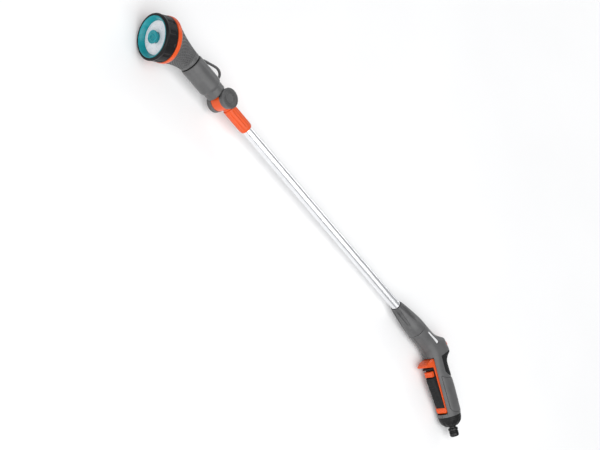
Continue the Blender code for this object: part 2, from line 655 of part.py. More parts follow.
def valve_parts():
    pipe = shift(PIPE_OUT, 0, 0)
    outer = [(5.5, 26), (5.5, 57), (8.0, 59), (8.0, 78)]
    valve = turned("valve_body", grip, outer, [(3.8, 26), (3.8, 78)], DARK_GREY, 16, pipe)
    across = shift(0, 0, PLUNGER_ALONG) @ Matrix.Rotation(math.pi / 2, 4, "Y")
    combine(valve, rods("valve_boss", grip, [(0, 0)], 5.6, PIPE_OUT + 4, 3.0, 16, across), "UNION")
    combine(valve, rods("valve_chamber", grip, [(0, 0)], 3.9, -13, -2, 12, across))
    combine(valve, rods("stem_bore", grip, [(0, 0)], 2.4, -3, 5, 12, across))
    combine(valve, rods("stem_gland", grip, [(0, 0)], 3.5, 1.1, 5, 12, across))

    tip = trigger_front(PLUNGER_ALONG) - 4.8 - 0.5
    outer = [(2.0, -5.6), (2.0, tip - 1.5), (4.2, tip - 1.4), (4.2, tip - 0.6), (1.4, tip)]
    turned("valve_plunger", grip, outer, None, STEEL, 14, across)
    turned("valve_seal", grip, [(3.3, -5.4), (3.3, -3.6)], [(2.3, -5.4), (2.3, -3.6)], RUBBER, 14, across)
    o_ring("plunger_o_ring", grip, 2.8, 0.42, 2.0, across, 14)

    wire_r, coil_r = 0.35, 3.3
    low, high = 3.4 + wire_r, tip - 1.8 - wire_r
    turns, per_turn = 3, 8
    coil = []
    for k in range(turns * per_turn + 1):
        angle = 2 * math.pi * k / per_turn
        out = low + (high - low) * k / (turns * per_turn)
        coil.append((out, coil_r * math.cos(angle), PLUNGER_ALONG + coil_r * math.sin(angle)))
    wire("trigger_spring", grip, coil, wire_r, STEEL, 0)


def flow_control():
    centre = (ELBOW[0] + 11.0, 0)
    outer = [(7.2, 541), (7.2, 552.4), (10.4, 552.6), (10.4, 609), (8.5, 611.5)]
    body = turned("regulator_body", lance, outer, None, DARK_GREY, 16)
    out = -11.0 * math.sin(math.radians(GRIP_BEND))
    start = 11.0 * math.cos(math.radians(GRIP_BEND))
    combine(body, rods("port_stub", grip, [(out, 0)], 5.0, start, 25.6, 12), "UNION")
    combine(body, rods("regulator_bore", lance, [(0, 0)], 4.2, 535, centre[0], 12))
    combine(body, rods("port_bore", grip, [(out, 0)], 3.4, start, 30, 10))
    combine(body, rods("spindle_bore", dial, [(0, 0)], 4.7, -28, -5, 14))

    outer = [(4.3, -27.6), (4.3, -14.8), (3.4, -14.8), (3.4, -13.4), (4.3, -13.4), (4.3, -11.8), (2.6, -11.4),
             (2.6, 1.2)]
    spindle = turned("flow_spindle", dial, outer, None, NATURAL, 14)
    combine(spindle, rods("spindle_port", lance, [(0, 0)], 2.8, centre[0] - 9, centre[0] + 9, 8))
    o_ring("spindle_o_ring", dial, 4.05, 0.4, -14.1, None, 14)
    outer = [(10.6, 0.5), (11.0, 0.9), (11.0, 2.4), (10.3, 3.0)]
    turned("flow_dial", dial, outer, [(2.9, 0.5), (2.9, 1.5), (0.8, 1.9), (0.8, 3.0)], ORANGE, 20)


def hose_end():
    curve = bpy.data.curves.new("inlet_pipe", "CURVE")
    knots = [(PIPE_OUT, 78.4), (PIPE_OUT, 84), (-5.2, 93), (-1.0, 105), (0, 114), (0, 119.6)]
    curve.dimensions = "3D"
    curve.bevel_depth = 5.4 * MM
    curve.bevel_resolution = 2
    spline = curve.splines.new("POLY")
    spline.points.add(len(knots) - 1)
    for point, (out, along) in zip(spline.points, knots):
        point.co = (out * MM, 0, along * MM, 1)
    pipe = mesh_from_curve("inlet_pipe", curve, grip, NATURAL)
    wall = pipe.modifiers.new("Wall", "SOLIDIFY")
    wall.thickness = 1.4 * MM
    wall.offset = -1

    outer = [(19.4, 122.0), (19.8, 122.8), (19.3, 127.5), (17.8, 132.6), (15.8, 135.7), (12.2, 139.0),
             (10.3, 140.0)]
    inner = [(16.2, 122.0), (16.2, 130.4), (13.2, 134.4), (7.4, 135.2), (7.4, 140.0)]
    turned("end_cap", grip, outer, inner, DARK_GREY, 22)
    turned("nipple_seal", grip, [(12.2, 132.5), (12.2, 133.9)], [(7.4, 132.5), (7.4, 133.9)], RUBBER, 16)

    outer = [(6.2, 120.2), (6.2, 124), (11.0, 124.2), (11.0, 131.7), (7.0, 131.9), (7.0, 141.0), (6.0, 141.4),
             (6.0, 143.8), (8.4, 144.4), (8.4, 147.9), (6.9, 148.7), (6.9, 149.3), (7.9, 149.5), (7.9, 150.3),
             (6.3, 150.3), (6.3, 152.7), (7.9, 152.7), (7.9, 156.6), (6.8, 158.8)]
    turned("hose_nipple", grip, outer, [(3.6, 120.2), (4.6, 133), (4.6, 157.4), (5.4, 158.8)], BLACK, 16)
    o_ring("nipple_o_ring", grip, 7.5, 0.8, 151.5, None, 14)
    turned("inlet_filter", grip, [(4.2, 135), (4.2, 136), (1.6, 142)], [(3.4, 135), (3.4, 136), (0.9, 141.6)],
           STEEL, 14)


# ---------------------------------------------------------------- lie the wand down

def world_bounds():
    graph = bpy.context.evaluated_depsgraph_get()
    points = []
    for obj in parts.objects:
        if obj.type == "MESH":
            shape = obj.evaluated_get(graph)
            points += [shape.matrix_world @ vertex.co for vertex in shape.data.vertices]
    low = Vector([min(p[k] for p in points) for k in range(3)])
    high = Vector([max(p[k] for p in points) for k in range(3)])
    return low, high


def lay_down():
    """Moves the wand so that its box stands centred on the origin, with its lowest point on the ground."""
    low, high = world_bounds()
    wand.location -= Vector(((low.x + high.x) / 2, (low.y + high.y) / 2, low.z))


clear_scene()
parts = new_collection(COLLECTION)
cutters = new_collection("cutters")
rest = Matrix.Rotation(math.radians(REST_PITCH), 4, "Y") @ Matrix.Rotation(math.radians(REST_ROLL), 4, "X")
wand = frame("wand_frame", None, rest)
face = bent_frame("face_frame", wand, FACE_CENTRE, FACE_BEND)
lance = bent_frame("lance_frame", wand, (0, 0), 0)
grip = bent_frame("grip_frame", wand, ELBOW, GRIP_BEND)
dial = bent_frame("dial_frame", wand, DIAL_SEAT, DIAL_BEND)

turret()
face_block()
head_housing()
hanging_loop()
tilt_hinge()
lance_parts()
grip_shells()
trigger_parts()
valve_parts()
flow_control()
hose_end()
lay_down()
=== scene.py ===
"""Looks of the watering wand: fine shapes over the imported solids, moulded plastics, soft overmoulds and a
drawn aluminium tube, on a pale floor in soft studio light. Shapes are in millimetres, in the frame of the
region they belong to, and each region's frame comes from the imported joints."""

import json
import math

import bmesh
import bpy
import numpy as np
from mathutils import Matrix, Vector


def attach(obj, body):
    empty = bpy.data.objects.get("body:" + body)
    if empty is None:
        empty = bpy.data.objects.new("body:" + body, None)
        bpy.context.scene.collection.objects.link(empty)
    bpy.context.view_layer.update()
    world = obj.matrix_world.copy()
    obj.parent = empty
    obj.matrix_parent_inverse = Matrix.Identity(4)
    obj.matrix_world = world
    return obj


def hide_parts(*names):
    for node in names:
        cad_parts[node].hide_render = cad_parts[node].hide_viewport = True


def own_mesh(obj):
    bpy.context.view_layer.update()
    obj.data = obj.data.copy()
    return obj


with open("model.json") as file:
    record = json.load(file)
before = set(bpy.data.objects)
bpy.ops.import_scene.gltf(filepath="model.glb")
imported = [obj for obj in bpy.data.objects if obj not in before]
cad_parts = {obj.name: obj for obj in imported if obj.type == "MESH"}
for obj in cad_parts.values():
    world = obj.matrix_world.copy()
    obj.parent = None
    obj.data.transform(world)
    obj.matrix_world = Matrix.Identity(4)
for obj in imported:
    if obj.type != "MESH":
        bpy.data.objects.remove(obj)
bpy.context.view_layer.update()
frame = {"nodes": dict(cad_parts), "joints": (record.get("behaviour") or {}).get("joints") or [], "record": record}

MM = 0.001
TURN = 2 * math.pi
GAP = 0.3                      # left between pieces that touch

# Directions in the wand's own plane, in degrees from the tube towards the trigger side.
FACE_BEND = 142.63
GRIP_BEND = 34.06
DIAL_BEND = -72.9
ELBOW = (591.0, 0.0)

# Sizes that several pieces share.
RIM_R = 35.8
LIP_R = 36.6                   # the ring's widest place, at its front
INDEX_R = 36.5
INDEX_BACK = -27.5
DISH_R = 26.4
PLATE_TOP = -6.4
FUNNEL_END = -80.5
BODY_START = -79.0
CHEEK_INSIDE = 9.6
CHEEK_OUTSIDE = 15.2
CHEEK_R = 15.8
BARREL_R = 15.4
BARREL_HALF = 9.2
CAP_R = {"near": 16.6, "far": 15.8}
CAP_OUTSIDE = 18.75
AXLE_BORE_R = 6.35
TUBE_R = 8.5
TUBE_START = 22.6
TUBE_END = 552.0
SLEEVE_R = 10.6
SLEEVE_END = 63.0
NOSE_START = 483.2
NOSE_END = 545.2

# The grip's centreline: a straight barrel, an arc, then the straight grip.
BARREL_START = 545.6
ARC_START = 573.0
ARC_RADIUS = 58.8
GRIP_TOP = 18.0
GRIP_END = 121.6
SHELL_WALL = 2.6

# Trigger, in the grip frame.
TRIGGER_HALF = 10.8
SLOT_HALF = 11.3
PAD_HALF = 8.3
LIP = 0.9                      # how far the pad's soft edge is drawn out over each rail
SIDE_GAP = 0.3                 # taken off each side of the trigger, so that its seam shows
STEM_SLOT = [(36.6, 9), (46.6, 9), (46.6, 30), (36.6, 30)]


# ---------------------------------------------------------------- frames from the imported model

record = frame["record"]
joint_of = {joint["name"]: joint for joint in frame["joints"]}
slot_of = {part["node"]: part["material_slot"] for part in record["subparts"]}
body_of = {node: body for body, nodes in record["behaviour"]["bodies"].items() for node in nodes}


def framed(x_axis, y_axis, z_axis, origin):
    matrix = Matrix((x_axis, y_axis, z_axis)).transposed().to_4x4()
    matrix.translation = origin
    return matrix


def wand_frame():
    """+X along the tube to the grip, +Z along the tilt hinge, and the origin where they cross."""
    hinge = Vector(joint_of["head_tilt"]["axis"]).normalized()
    face = Vector(joint_of["pattern_turn"]["axis"]).normalized()
    bend = math.radians(FACE_BEND)
    along = (face * math.cos(bend) + hinge.cross(face) * math.sin(bend)).normalized()
    return framed(along, hinge.cross(along), hinge, Vector(joint_of["head_tilt"]["pos_m"]))


WAND = wand_frame()


def bent_frame(centre, bend):
    """Local Z points along the bend, local X to the trigger side of it, and local Y to the ground side."""
    angle = math.radians(bend)
    along = Vector((math.cos(angle), -math.sin(angle), 0))
    out = Vector((-math.sin(angle), -math.cos(angle), 0))
    return WAND @ framed(out, Vector((0, 0, -1)), along, Vector(centre))


def joint_place(name):
    """Where a joint is, in the wand frame, in metres."""
    return WAND.inverted() @ Vector(joint_of[name]["pos_m"])


FACE_PLACE = joint_place("pattern_turn")
DIAL_PLACE = joint_place("dial_turn")
FACE = bent_frame(FACE_PLACE, FACE_BEND)
LANCE = bent_frame((0, 0, 0), 0)
GRIP = bent_frame((ELBOW[0] * MM, ELBOW[1] * MM, 0), GRIP_BEND)
DIAL = bent_frame(DIAL_PLACE, DIAL_BEND)
TRIGGER_PIVOT = GRIP.inverted() @ (WAND @ joint_place("trigger_press")) / MM


# ---------------------------------------------------------------- materials

class Look:
    """A material that is being put together."""

    def __init__(self, name, roughness, metallic=0.0):
        self.material = bpy.data.materials.new(name)
        self.material.use_nodes = True
        self.nodes = self.material.node_tree.nodes
        self.links = self.material.node_tree.links
        self.shader = self.nodes["Principled BSDF"]
        self.place = self.nodes.new("ShaderNodeTexCoord").outputs["Object"]
        self.fix("Roughness", roughness)
        self.fix("Metallic", metallic)

    def fix(self, socket, value):
        self.shader.inputs[socket].default_value = value

    def feed(self, value, socket):
        self.links.new(value, self.shader.inputs[socket])

    def noise(self, size_mm, detail, stretch=(1, 1, 1)):
        """Noise whose features are about size_mm across, or longer along an axis where it is stretched."""
        mapping = self.nodes.new("ShaderNodeMapping")
        mapping.inputs["Scale"].default_value = [1 / (size_mm * MM * s) for s in stretch]
        self.links.new(self.place, mapping.inputs["Vector"])
        texture = self.nodes.new("ShaderNodeTexNoise")
        texture.inputs["Scale"].default_value = 1.0
        texture.inputs["Detail"].default_value = detail
        self.links.new(mapping.outputs["Vector"], texture.inputs["Vector"])
        return texture.outputs["Fac"]

    def cells(self, size_mm):
        """How far each point is from the middle of its small cell."""
        texture = self.nodes.new("ShaderNodeTexVoronoi")
        texture.inputs["Scale"].default_value = 1 / (size_mm * MM)
        self.links.new(self.place, texture.inputs["Vector"])
        return texture.outputs["Distance"]

    def ranged(self, value, low, high, start=0.3, end=0.7):
        """Maps start..end, by default the middle of a noise's range, to low..high."""
        node = self.nodes.new("ShaderNodeMapRange")
        for socket, limit in (("From Min", start), ("From Max", end), ("To Min", low), ("To Max", high)):
            node.inputs[socket].default_value = limit
        self.links.new(value, node.inputs["Value"])
        return node.outputs["Result"]

    def mixed(self, value, dark, light):
        """A colour between two, chosen by a 0 to 1 value. The second may be another node's colour."""
        mix = self.nodes.new("ShaderNodeMix")
        mix.data_type = "RGBA"
        mix.inputs[6].default_value = (*dark, 1)
        if isinstance(light, tuple):
            mix.inputs[7].default_value = (*light, 1)
        else:
            self.links.new(light, mix.inputs[7])
        self.links.new(value, mix.inputs[0])
        return mix.outputs[2]

    def bumped(self, height, strength, distance_mm):
        bump = self.nodes.new("ShaderNodeBump")
        bump.inputs["Strength"].default_value = strength
        bump.inputs["Distance"].default_value = distance_mm * MM
        self.links.new(height, bump.inputs["Height"])
        self.feed(bump.outputs["Normal"], "Normal")

    def worn(self, value, amount):
        """Adds wear to a 0 to 1 value where the surface is convex, so handled edges come out lighter."""
        pointiness = self.nodes.new("ShaderNodeNewGeometry").outputs["Pointiness"]
        total = self.nodes.new("ShaderNodeMath")
        total.operation = "ADD"
        total.use_clamp = True
        self.links.new(value, total.inputs[0])
        self.links.new(self.ranged(pointiness, 0.0, amount, 0.51, 0.6), total.inputs[1])
        return total.outputs[0]

    def soiled(self, paint, shade_tone, reach_mm):
        """Darkens a colour in grooves and hollows with painted shade, by how enclosed each point is."""
        cover = self.nodes.new("ShaderNodeAmbientOcclusion")
        cover.samples = 8
        cover.inputs["Distance"].default_value = reach_mm * MM
        return self.mixed(self.ranged(cover.outputs["AO"], 0.0, 1.0, 0.25, 0.85), shade_tone, paint)


def shade(colour, factor):
    return tuple(channel * factor for channel in colour)


def plastic(name, colour, roughness, grain=0.25, spread=0.12, wear=0.3, coat=0.0, shine=0.4, hollow_mm=0.0):
    """Moulded plastic: faint flow marks in its colour, a spark-eroded grain, lighter handled edges, and painted
    shade in grooves and hollows when hollow_mm is given.
    """
    look = Look(name, roughness)
    flow = look.ranged(look.noise(14, 4.0), 0.0, 0.7)
    paint = look.mixed(look.worn(flow, wear), shade(colour, 1 - spread), shade(colour, 1 + 1.6 * spread))
    if hollow_mm:
        # painted shade: the colour darkens to a quarter of itself in grooves and hollows
        paint = look.soiled(paint, shade(colour, 0.25), hollow_mm)
    look.feed(paint, "Base Color")
    look.feed(look.ranged(look.noise(9, 5.0), roughness * 0.88, roughness * 1.15), "Roughness")
    look.bumped(look.noise(0.35, 2.0), grain, 0.04)
    look.fix("Specular IOR Level", shine)
    look.fix("Coat Weight", coat)
    look.fix("Coat Roughness", 0.18)
    return look.material


def rubber(name, colour, roughness, grain_mm, grain):
    """Soft overmould: matt, with a pebbled grain and paler dust in places."""
    look = Look(name, roughness)
    dust = look.ranged(look.noise(5, 6.0), 0.0, 0.8)
    look.feed(look.mixed(look.worn(dust, 0.35), colour, shade(colour, 1.9)), "Base Color")
    look.feed(look.ranged(look.noise(3, 4.0), roughness * 0.9, roughness * 1.1), "Roughness")
    look.bumped(look.cells(grain_mm), grain, 0.05)
    look.fix("Specular IOR Level", 0.22)
    return look.material


def metal(name, colour, roughness):
    """Drawn or turned metal, with fine lines along local Z."""
    look = Look(name, roughness, 1.0)
    drawn = look.noise(0.25, 2.0, (1, 1, 60))
    cloud = look.ranged(look.noise(12, 3.0), 0, 1)
    look.feed(look.mixed(cloud, shade(colour, 0.94), colour), "Base Color")
    look.feed(look.ranged(drawn, roughness * 0.8, roughness * 1.25), "Roughness")
    look.bumped(drawn, 0.12, 0.01)
    return look.material


def pearl(name):
    """Pale pearl lacquer, with a slow change of warmth across it and fine flakes."""
    look = Look(name, 0.32, 0.05)
    flakes = look.cells(0.5)
    cloud = look.ranged(look.noise(16, 2.0), 0, 1)
    look.feed(look.mixed(cloud, (0.74, 0.75, 0.80), (0.86, 0.84, 0.86)), "Base Color")
    look.feed(look.ranged(flakes, 0.28, 0.40, 0, 1), "Roughness")
    look.bumped(flakes, 0.08, 0.02)
    return look.material


def paper(name):
    look = Look(name, 0.9)
    tone = look.ranged(look.noise(300, 2.0), 0, 1)
    look.feed(look.mixed(tone, (0.94, 0.94, 0.94), (0.97, 0.97, 0.97)), "Base Color")
    return look.material


FINISH = {
    # The housing grey carries painted shade in its grooves and hollows, reaching 5 mm.
    "housing_grey": plastic("housing_grey_satin", (0.100, 0.100, 0.101), 0.36, hollow_mm=5.0),
    "orange_plastic": plastic("orange_moulded", (0.720, 0.082, 0.008), 0.32,
                              spread=0.06, wear=0.2, coat=0.05),
    "teal_plastic": plastic("teal_moulded", (0.000, 0.270, 0.310), 0.30, spread=0.08, wear=0.25, coat=0.1),
    "spray_plate_silver": pearl("spray_plate_pearl"),
    "selector_black": rubber("selector_overmould", (0.0045, 0.0045, 0.005), 0.42, 0.45, 0.25),
    "soft_grip_black": rubber("grip_overmould", (0.007, 0.0075, 0.008), 0.55, 0.7, 0.6),
    "tube_aluminium": metal("drawn_aluminium", (0.88, 0.885, 0.90), 0.26),
    "end_cap_dark": plastic("end_cap_satin", (0.007, 0.007, 0.0075), 0.42, shine=0.25),
    "nipple_black": plastic("nipple_gloss", (0.003, 0.003, 0.0035), 0.30, grain=0.1),
    "badge_light": plastic("badge_inlay", (0.80, 0.80, 0.81), 0.22,
                           grain=0.05, spread=0.03, wear=0.0, coat=0.4),
    "inner_dark": plastic("inner_dark_moulded", (0.035, 0.036, 0.038), 0.5),
    "inner_natural": plastic("inner_acetal", (0.62, 0.60, 0.54), 0.45, spread=0.05),
    "stainless": metal("stainless_wire", (0.62, 0.62, 0.63), 0.24),
    "seal_rubber": rubber("seal_rubber", (0.010, 0.010, 0.010), 0.7, 0.6, 0.2),
}


# ---------------------------------------------------------------- making pieces

SHARP = 35                     # degrees between faces that leave a crease


def linked(name, data):
    obj = bpy.data.objects.new(name, data)
    bpy.context.scene.collection.objects.link(obj)
    return obj


def evaluated(obj):
    """The object's mesh once its modifiers or its curve are worked out."""
    graph = bpy.context.evaluated_depsgraph_get()
    return bpy.data.meshes.new_from_object(obj.evaluated_get(graph))


def add_piece(name, mesh, place, node, stands_for=()):
    """A piece in the frame `place`, which rides with the CAD node's body and takes its finish."""
    obj = linked(name, mesh)
    obj.matrix_world = place
    mesh.materials.clear()
    mesh.materials.append(FINISH[slot_of[node]])
    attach(obj, body_of[node])
    if stands_for:
        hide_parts(*stands_for)
    return obj


def stand_in(node, mesh, place):
    """The fine piece that is shown instead of one CAD node."""
    return add_piece(node + "_fine", mesh, place, node, [node])


def shaded(mesh, sharp):
    """Smooth shading, with creases where the faces meet at more than `sharp` degrees."""
    mesh.shade_smooth()
    mesh.set_sharp_from_angle(angle=math.radians(sharp))
    return mesh


def welded(mesh, reach, sharp):
    """Joins points closer than `reach` metres and turns the faces out."""
    work = bmesh.new()
    work.from_mesh(mesh)
    bmesh.ops.remove_doubles(work, verts=work.verts, dist=reach)
    bmesh.ops.recalc_face_normals(work, faces=work.faces)
    work.to_mesh(mesh)
    work.free()
    return shaded(mesh, sharp)


def closed_mesh(points, faces, sharp=SHARP):
    """A mesh in metres from points in millimetres."""
    mesh = bpy.data.meshes.new("piece")
    mesh.from_pydata((np.asarray(points, float).reshape(-1, 3) * MM).tolist(), [], faces)
    return welded(mesh, 0.0000005, sharp)


def grid_faces(rows, columns, wrap_rows=False, wrap_columns=False, start=0):
    faces = []
    for i in range(rows if wrap_rows else rows - 1):
        k = (i + 1) % rows
        for j in range(columns if wrap_columns else columns - 1):
            m = (j + 1) % columns
            faces.append((start + i * columns + j, start + k * columns + j, start + k * columns + m,
                          start + i * columns + m))
    return faces


def rounded(points, radius, closed=True, steps=4):
    """Softens an outline's corners. A point may carry its own radius as a third value."""
    count = len(points)
    result = []
    for i, point in enumerate(points):
        corner = np.array(point[:2], float)
        reach = point[2] if len(point) > 2 else radius
        if not closed and i in (0, count - 1) or reach <= 0:
            result.append(corner)
            continue
        before = np.array(points[i - 1][:2], float) - corner
        after = np.array(points[(i + 1) % count][:2], float) - corner
        start = corner + before * min(0.48, reach / max(np.linalg.norm(before), 1e-6))
        end = corner + after * min(0.48, reach / max(np.linalg.norm(after), 1e-6))
        for u in np.linspace(0, 1, steps + 1):
            result.append((1 - u) ** 2 * start + 2 * u * (1 - u) * corner + u ** 2 * end)
    return np.array(result)


def densified(points, step, closed=True):
    """Adds points so that none are further apart than step."""
    count = len(points)
    result = []
    for i in range(count if closed else count - 1):
        a, b = points[i], points[(i + 1) % count]
        pieces = max(1, math.ceil(np.linalg.norm(b - a) / step))
        result += [a + (b - a) * k / pieces for k in range(pieces)]
    if not closed:
        result.append(points[-1])
    return np.array(result)


def turned_mesh(profile, fillet, segments, step=None, relief=None, solid=False):
    """A profile of (radius, height) corners turned about local Z.

    A solid piece's profile starts and ends on the axis. Relief gets angles, radii and heights, and returns
    what to add to the radii and the heights.
    """
    line = rounded(profile, fillet, closed=not solid)
    if step:
        line = densified(line, step, closed=not solid)
    angle = np.linspace(0, TURN, segments, endpoint=False)[:, None] + np.zeros(len(line))
    radius = np.zeros_like(angle) + line[:, 0]
    height = np.zeros_like(angle) + line[:, 1]
    if relief:
        more_radius, more_height = relief(angle, radius, height)
        radius, height = radius + more_radius, height + more_height
    points = np.stack([radius * np.cos(angle), radius * np.sin(angle), height], -1)
    faces = grid_faces(segments, len(line), True, not solid)
    return closed_mesh(points, faces)


def plug(radius, low, high, fillet=0, segments=48):
    """A solid round bar about local Z."""
    profile = [(0, low), (radius, low), (radius, high), (0, high)]
    return turned_mesh(profile, fillet, segments, solid=True)


def between(outside, inside, rims, wrapped, sharp):
    """A closed solid between two grids of points, which are joined along the rims."""
    rows, columns = outside.shape[:2]
    half = rows * columns
    faces = grid_faces(rows, columns, False, wrapped) + grid_faces(rows, columns, False, wrapped, half)
    for rim in rims:
        for a, b in zip(rim, rim[1:] + rim[:1]):
            faces.append((a, b, half + b, half + a))
    return closed_mesh(np.stack([outside, inside]), faces, sharp)


def bar(rings):
    """A bar with flat ends, over a grid of points whose rows are rings."""
    count, sides = rings.shape[:2]
    faces = grid_faces(count, sides, False, True)
    faces.append(tuple(range(sides)))
    faces.append(tuple(range((count - 1) * sides, count * sides)))
    return closed_mesh(rings, faces, 60)


def in_wand(mesh, place):
    """The mesh of a piece in the frame `place`, as it is in the wand frame."""
    return moved(mesh, WAND.inverted() @ place)


def boolean(mesh, tools, operation="DIFFERENCE", sharp=SHARP):
    """The mesh with each tool mesh cut away from it, joined to it or kept where both are."""
    base = linked("boolean_base", mesh)
    helpers = []
    for tool in tools:
        helper = linked("boolean_tool", tool)
        cut = base.modifiers.new("Cut", "BOOLEAN")
        cut.operation = operation
        cut.solver = "EXACT"
        cut.object = helper
        helpers.append(helper)
    result = evaluated(base)
    for helper in [base] + helpers:
        bpy.data.objects.remove(helper, do_unlink=True)
    return shaded(result, sharp)


def moved(mesh, matrix):
    mesh.transform(matrix)
    return mesh


def shift(x=0.0, y=0.0, z=0.0):
    return Matrix.Translation(Vector((x, y, z)) * MM)


def extruded_mesh(outline, half, edge=0.0, holes=()):
    """A flat outline in local X-Y with thickness both ways along Z, softly rounded along its edges."""
    curve = bpy.data.curves.new("outline", "CURVE")
    curve.dimensions = "2D"
    curve.fill_mode = "BOTH"
    curve.extrude = (half - edge) * MM
    curve.bevel_depth = edge * MM
    curve.bevel_resolution = 3
    curve.offset = -edge * MM
    for line in [outline, *holes]:
        spline = curve.splines.new("POLY")
        spline.points.add(len(line) - 1)
        for point, (x, y) in zip(spline.points, line):
            point.co = (x * MM, y * MM, 0, 1)
        spline.use_cyclic_u = True
    guide = linked("outline", curve)
    mesh = evaluated(guide)
    bpy.data.objects.remove(guide, do_unlink=True)
    return welded(mesh, 0.000002, SHARP)


def circle_line(radius, count, centre=(0, 0)):
    angles = [TURN * k / count for k in range(count)]
    return [(centre[0] + radius * math.cos(a), centre[1] + radius * math.sin(a)) for a in angles]


def smooth_step(value, start, end):
    u = np.clip((value - start) / (end - start), 0, 1)
    return u * u * (3 - 2 * u)


def window(value, start, full, fade, end):
    """Rises from 0 to 1 between start and full, and falls back between fade and end."""
    return smooth_step(value, start, full) * (1 - smooth_step(value, fade, end))


def spaced(angle, count):
    """How far each angle is from the nearest of count even places round the circle, in radians."""
    pitch = TURN / count
    return np.abs((angle + pitch / 2) % pitch - pitch / 2)


# ---------------------------------------------------------------- head

def selector_ring():
    """Soft black ring that the hand turns, with thumb hollows round it and a chamfered front lip."""
    profile = [
        (35.2, -20.0), (RIM_R, -19.2), (RIM_R, -3.6, 1.0), (LIP_R, -0.5, 0.5), (35.7, 1.4, 0.7),
        (33.6, 2.4, 0.5), (32.8, 2.2, 0.3), (32.8, -12.8, 0), (29.4, -13.0, 0), (29.4, -14.8, 0),
        (33.4, -15.0, 0), (33.4, -20.0),
    ]

    def hollows(angle, radius, height):
        across = spaced(angle, 12) * RIM_R
        side = 1 - smooth_step(across, 1.6, 3.4)
        ends = window(height, -17.6, -15.8, -5.4, -3.6)
        return np.where(radius > 34.5, -0.95 * side * ends, 0), 0

    return turned_mesh(profile, 0.5, 336, 0.8, hollows)


def bezel():
    """Teal funnel-shaped wall round the spray plate, with a rolled lip."""
    profile = [
        (30.2, -12.6), (32.4, -12.6), (32.4, 1.6, 0.4), (31.8, 2.3, 0.4), (30.8, 1.9, 0.5),
        (29.6, 0.2, 0.8), (26.8, -5.0, 0.7), (DISH_R, -6.0, 0.3), (DISH_R, -8.1, 0), (8.9, -8.1, 0),
        (8.9, -10.1, 0), (30.2, -10.1),
    ]
    return turned_mesh(profile, 0.4, 192)


PLATE_HALF = 0.7
PINHOLE_R = 0.42
# Each ring of pinholes: its radius, how many, and how far it is turned, in pitches.
PINHOLE_RINGS = ((13.2, 14, 0), (16.6, 18, 0.5), (20.0, 22, 0), (23.4, 28, 0.5))


def pinholes():
    """Where the pinholes are on the plate."""
    for ring, count, offset in PINHOLE_RINGS:
        for k in range(count):
            angle = TURN * (k + offset) / count
            yield ring * math.cos(angle), ring * math.sin(angle)


def spray_plate():
    """A thin disc with rings of pinholes round a wide hole for the nozzle."""
    holes = [circle_line(8.8, 64)] + [circle_line(PINHOLE_R, 10, centre) for centre in pinholes()]
    plate = extruded_mesh(circle_line(DISH_R - GAP, 128), PLATE_HALF, 0.0, holes)
    return moved(plate, shift(0, 0, PLATE_TOP - PLATE_HALF))


def spray_collars():
    """The raised collars round the pinholes, as one mesh of small separate rings."""
    section = rounded([(0.46, -0.15), (0.95, -0.15), (0.78, 0.22, 0.1), (0.46, 0.22, 0.1)], 0.05, steps=1)
    verts, faces = [], []
    for x, y in pinholes():
        angle = np.linspace(0, TURN, 14, endpoint=False)[:, None]
        ring = np.stack([x + section[:, 0] * np.cos(angle), y + section[:, 0] * np.sin(angle),
                         PLATE_TOP + section[:, 1] + 0 * angle], -1).reshape(-1, 3)
        faces += grid_faces(14, len(section), True, True, len(verts))
        verts += ring.tolist()
    return closed_mesh(verts, faces)


def centre_nozzle():
    """Teal hub that widens to a rimmed face, where a spiral ridge runs out from a small jet hole."""
    profile = [
        (0, -9.7), (8.5, -9.7), (8.4, -4.6, 1.0), (10.3, -0.6, 1.0), (10.5, 1.1, 0.5), (9.7, 1.9, 0.5),
        (8.8, 1.9, 0.4), (8.1, 0.7, 0.4), (0, 0.7),
    ]
    jet = (0.8, 3.0)

    def spiral(angle, radius, height):
        x, y = radius * np.cos(angle), radius * np.sin(angle)
        turn = np.arctan2(y - 0.2, x) % TURN
        from_centre = np.hypot(x, y - 0.2)
        lift = np.zeros_like(angle)
        for lap in (0, 1):
            ridge = 1.6 + 2.35 * (turn / TURN + lap)
            wide = np.abs(from_centre - ridge)
            alive = window(turn + lap * TURN, 0.6, 1.4, 10.6, 11.6)
            lift = np.maximum(lift, alive * (1 - smooth_step(wide, 0.45, 0.95)))
        hole = 1 - smooth_step(np.hypot(x - jet[0], y - jet[1]), 0.75, 1.15)
        face = (height > 0) & (radius < 7.8)
        return 0, np.where(face, lift * (1 - hole) - 2.2 * hole, 0)

    return turned_mesh(profile, 0.4, 180, 0.22, spiral, solid=True)


def index_ring():
    profile = [
        (33.2, INDEX_BACK), (36.0, INDEX_BACK, 0.4), (INDEX_R, INDEX_BACK + 1.2, 0.8),
        (INDEX_R, -21.2, 0.8), (36.1, -20.45, 0.3), (33.2, -20.45),
    ]

    def marker(angle, radius, height):
        """A small raised arrow that shows which pattern is chosen."""
        across = np.abs((angle + math.pi) % TURN - math.pi) * INDEX_R
        reach = np.clip((-21.3 - height) / 5.0, 0, 1) * 2.6
        inside = 1 - smooth_step(across - reach, -0.15, 0.25)
        ends = window(height, -26.8, -26.4, -21.7, -21.2)
        return np.where(radius > 36, -0.35 * inside * ends, 0), 0

    return turned_mesh(profile, 0.3, 288, 0.6, marker)


FUNNEL_RIBS = 34               # crossing ribs round the funnel, each way


def bow(start, pull, end, u):
    """A point on a quadratic curve from start to end that leans towards pull."""
    return [(1 - u) ** 2 * a + 2 * u * (1 - u) * b + u ** 2 * c for a, b, c in zip(start, pull, end)]


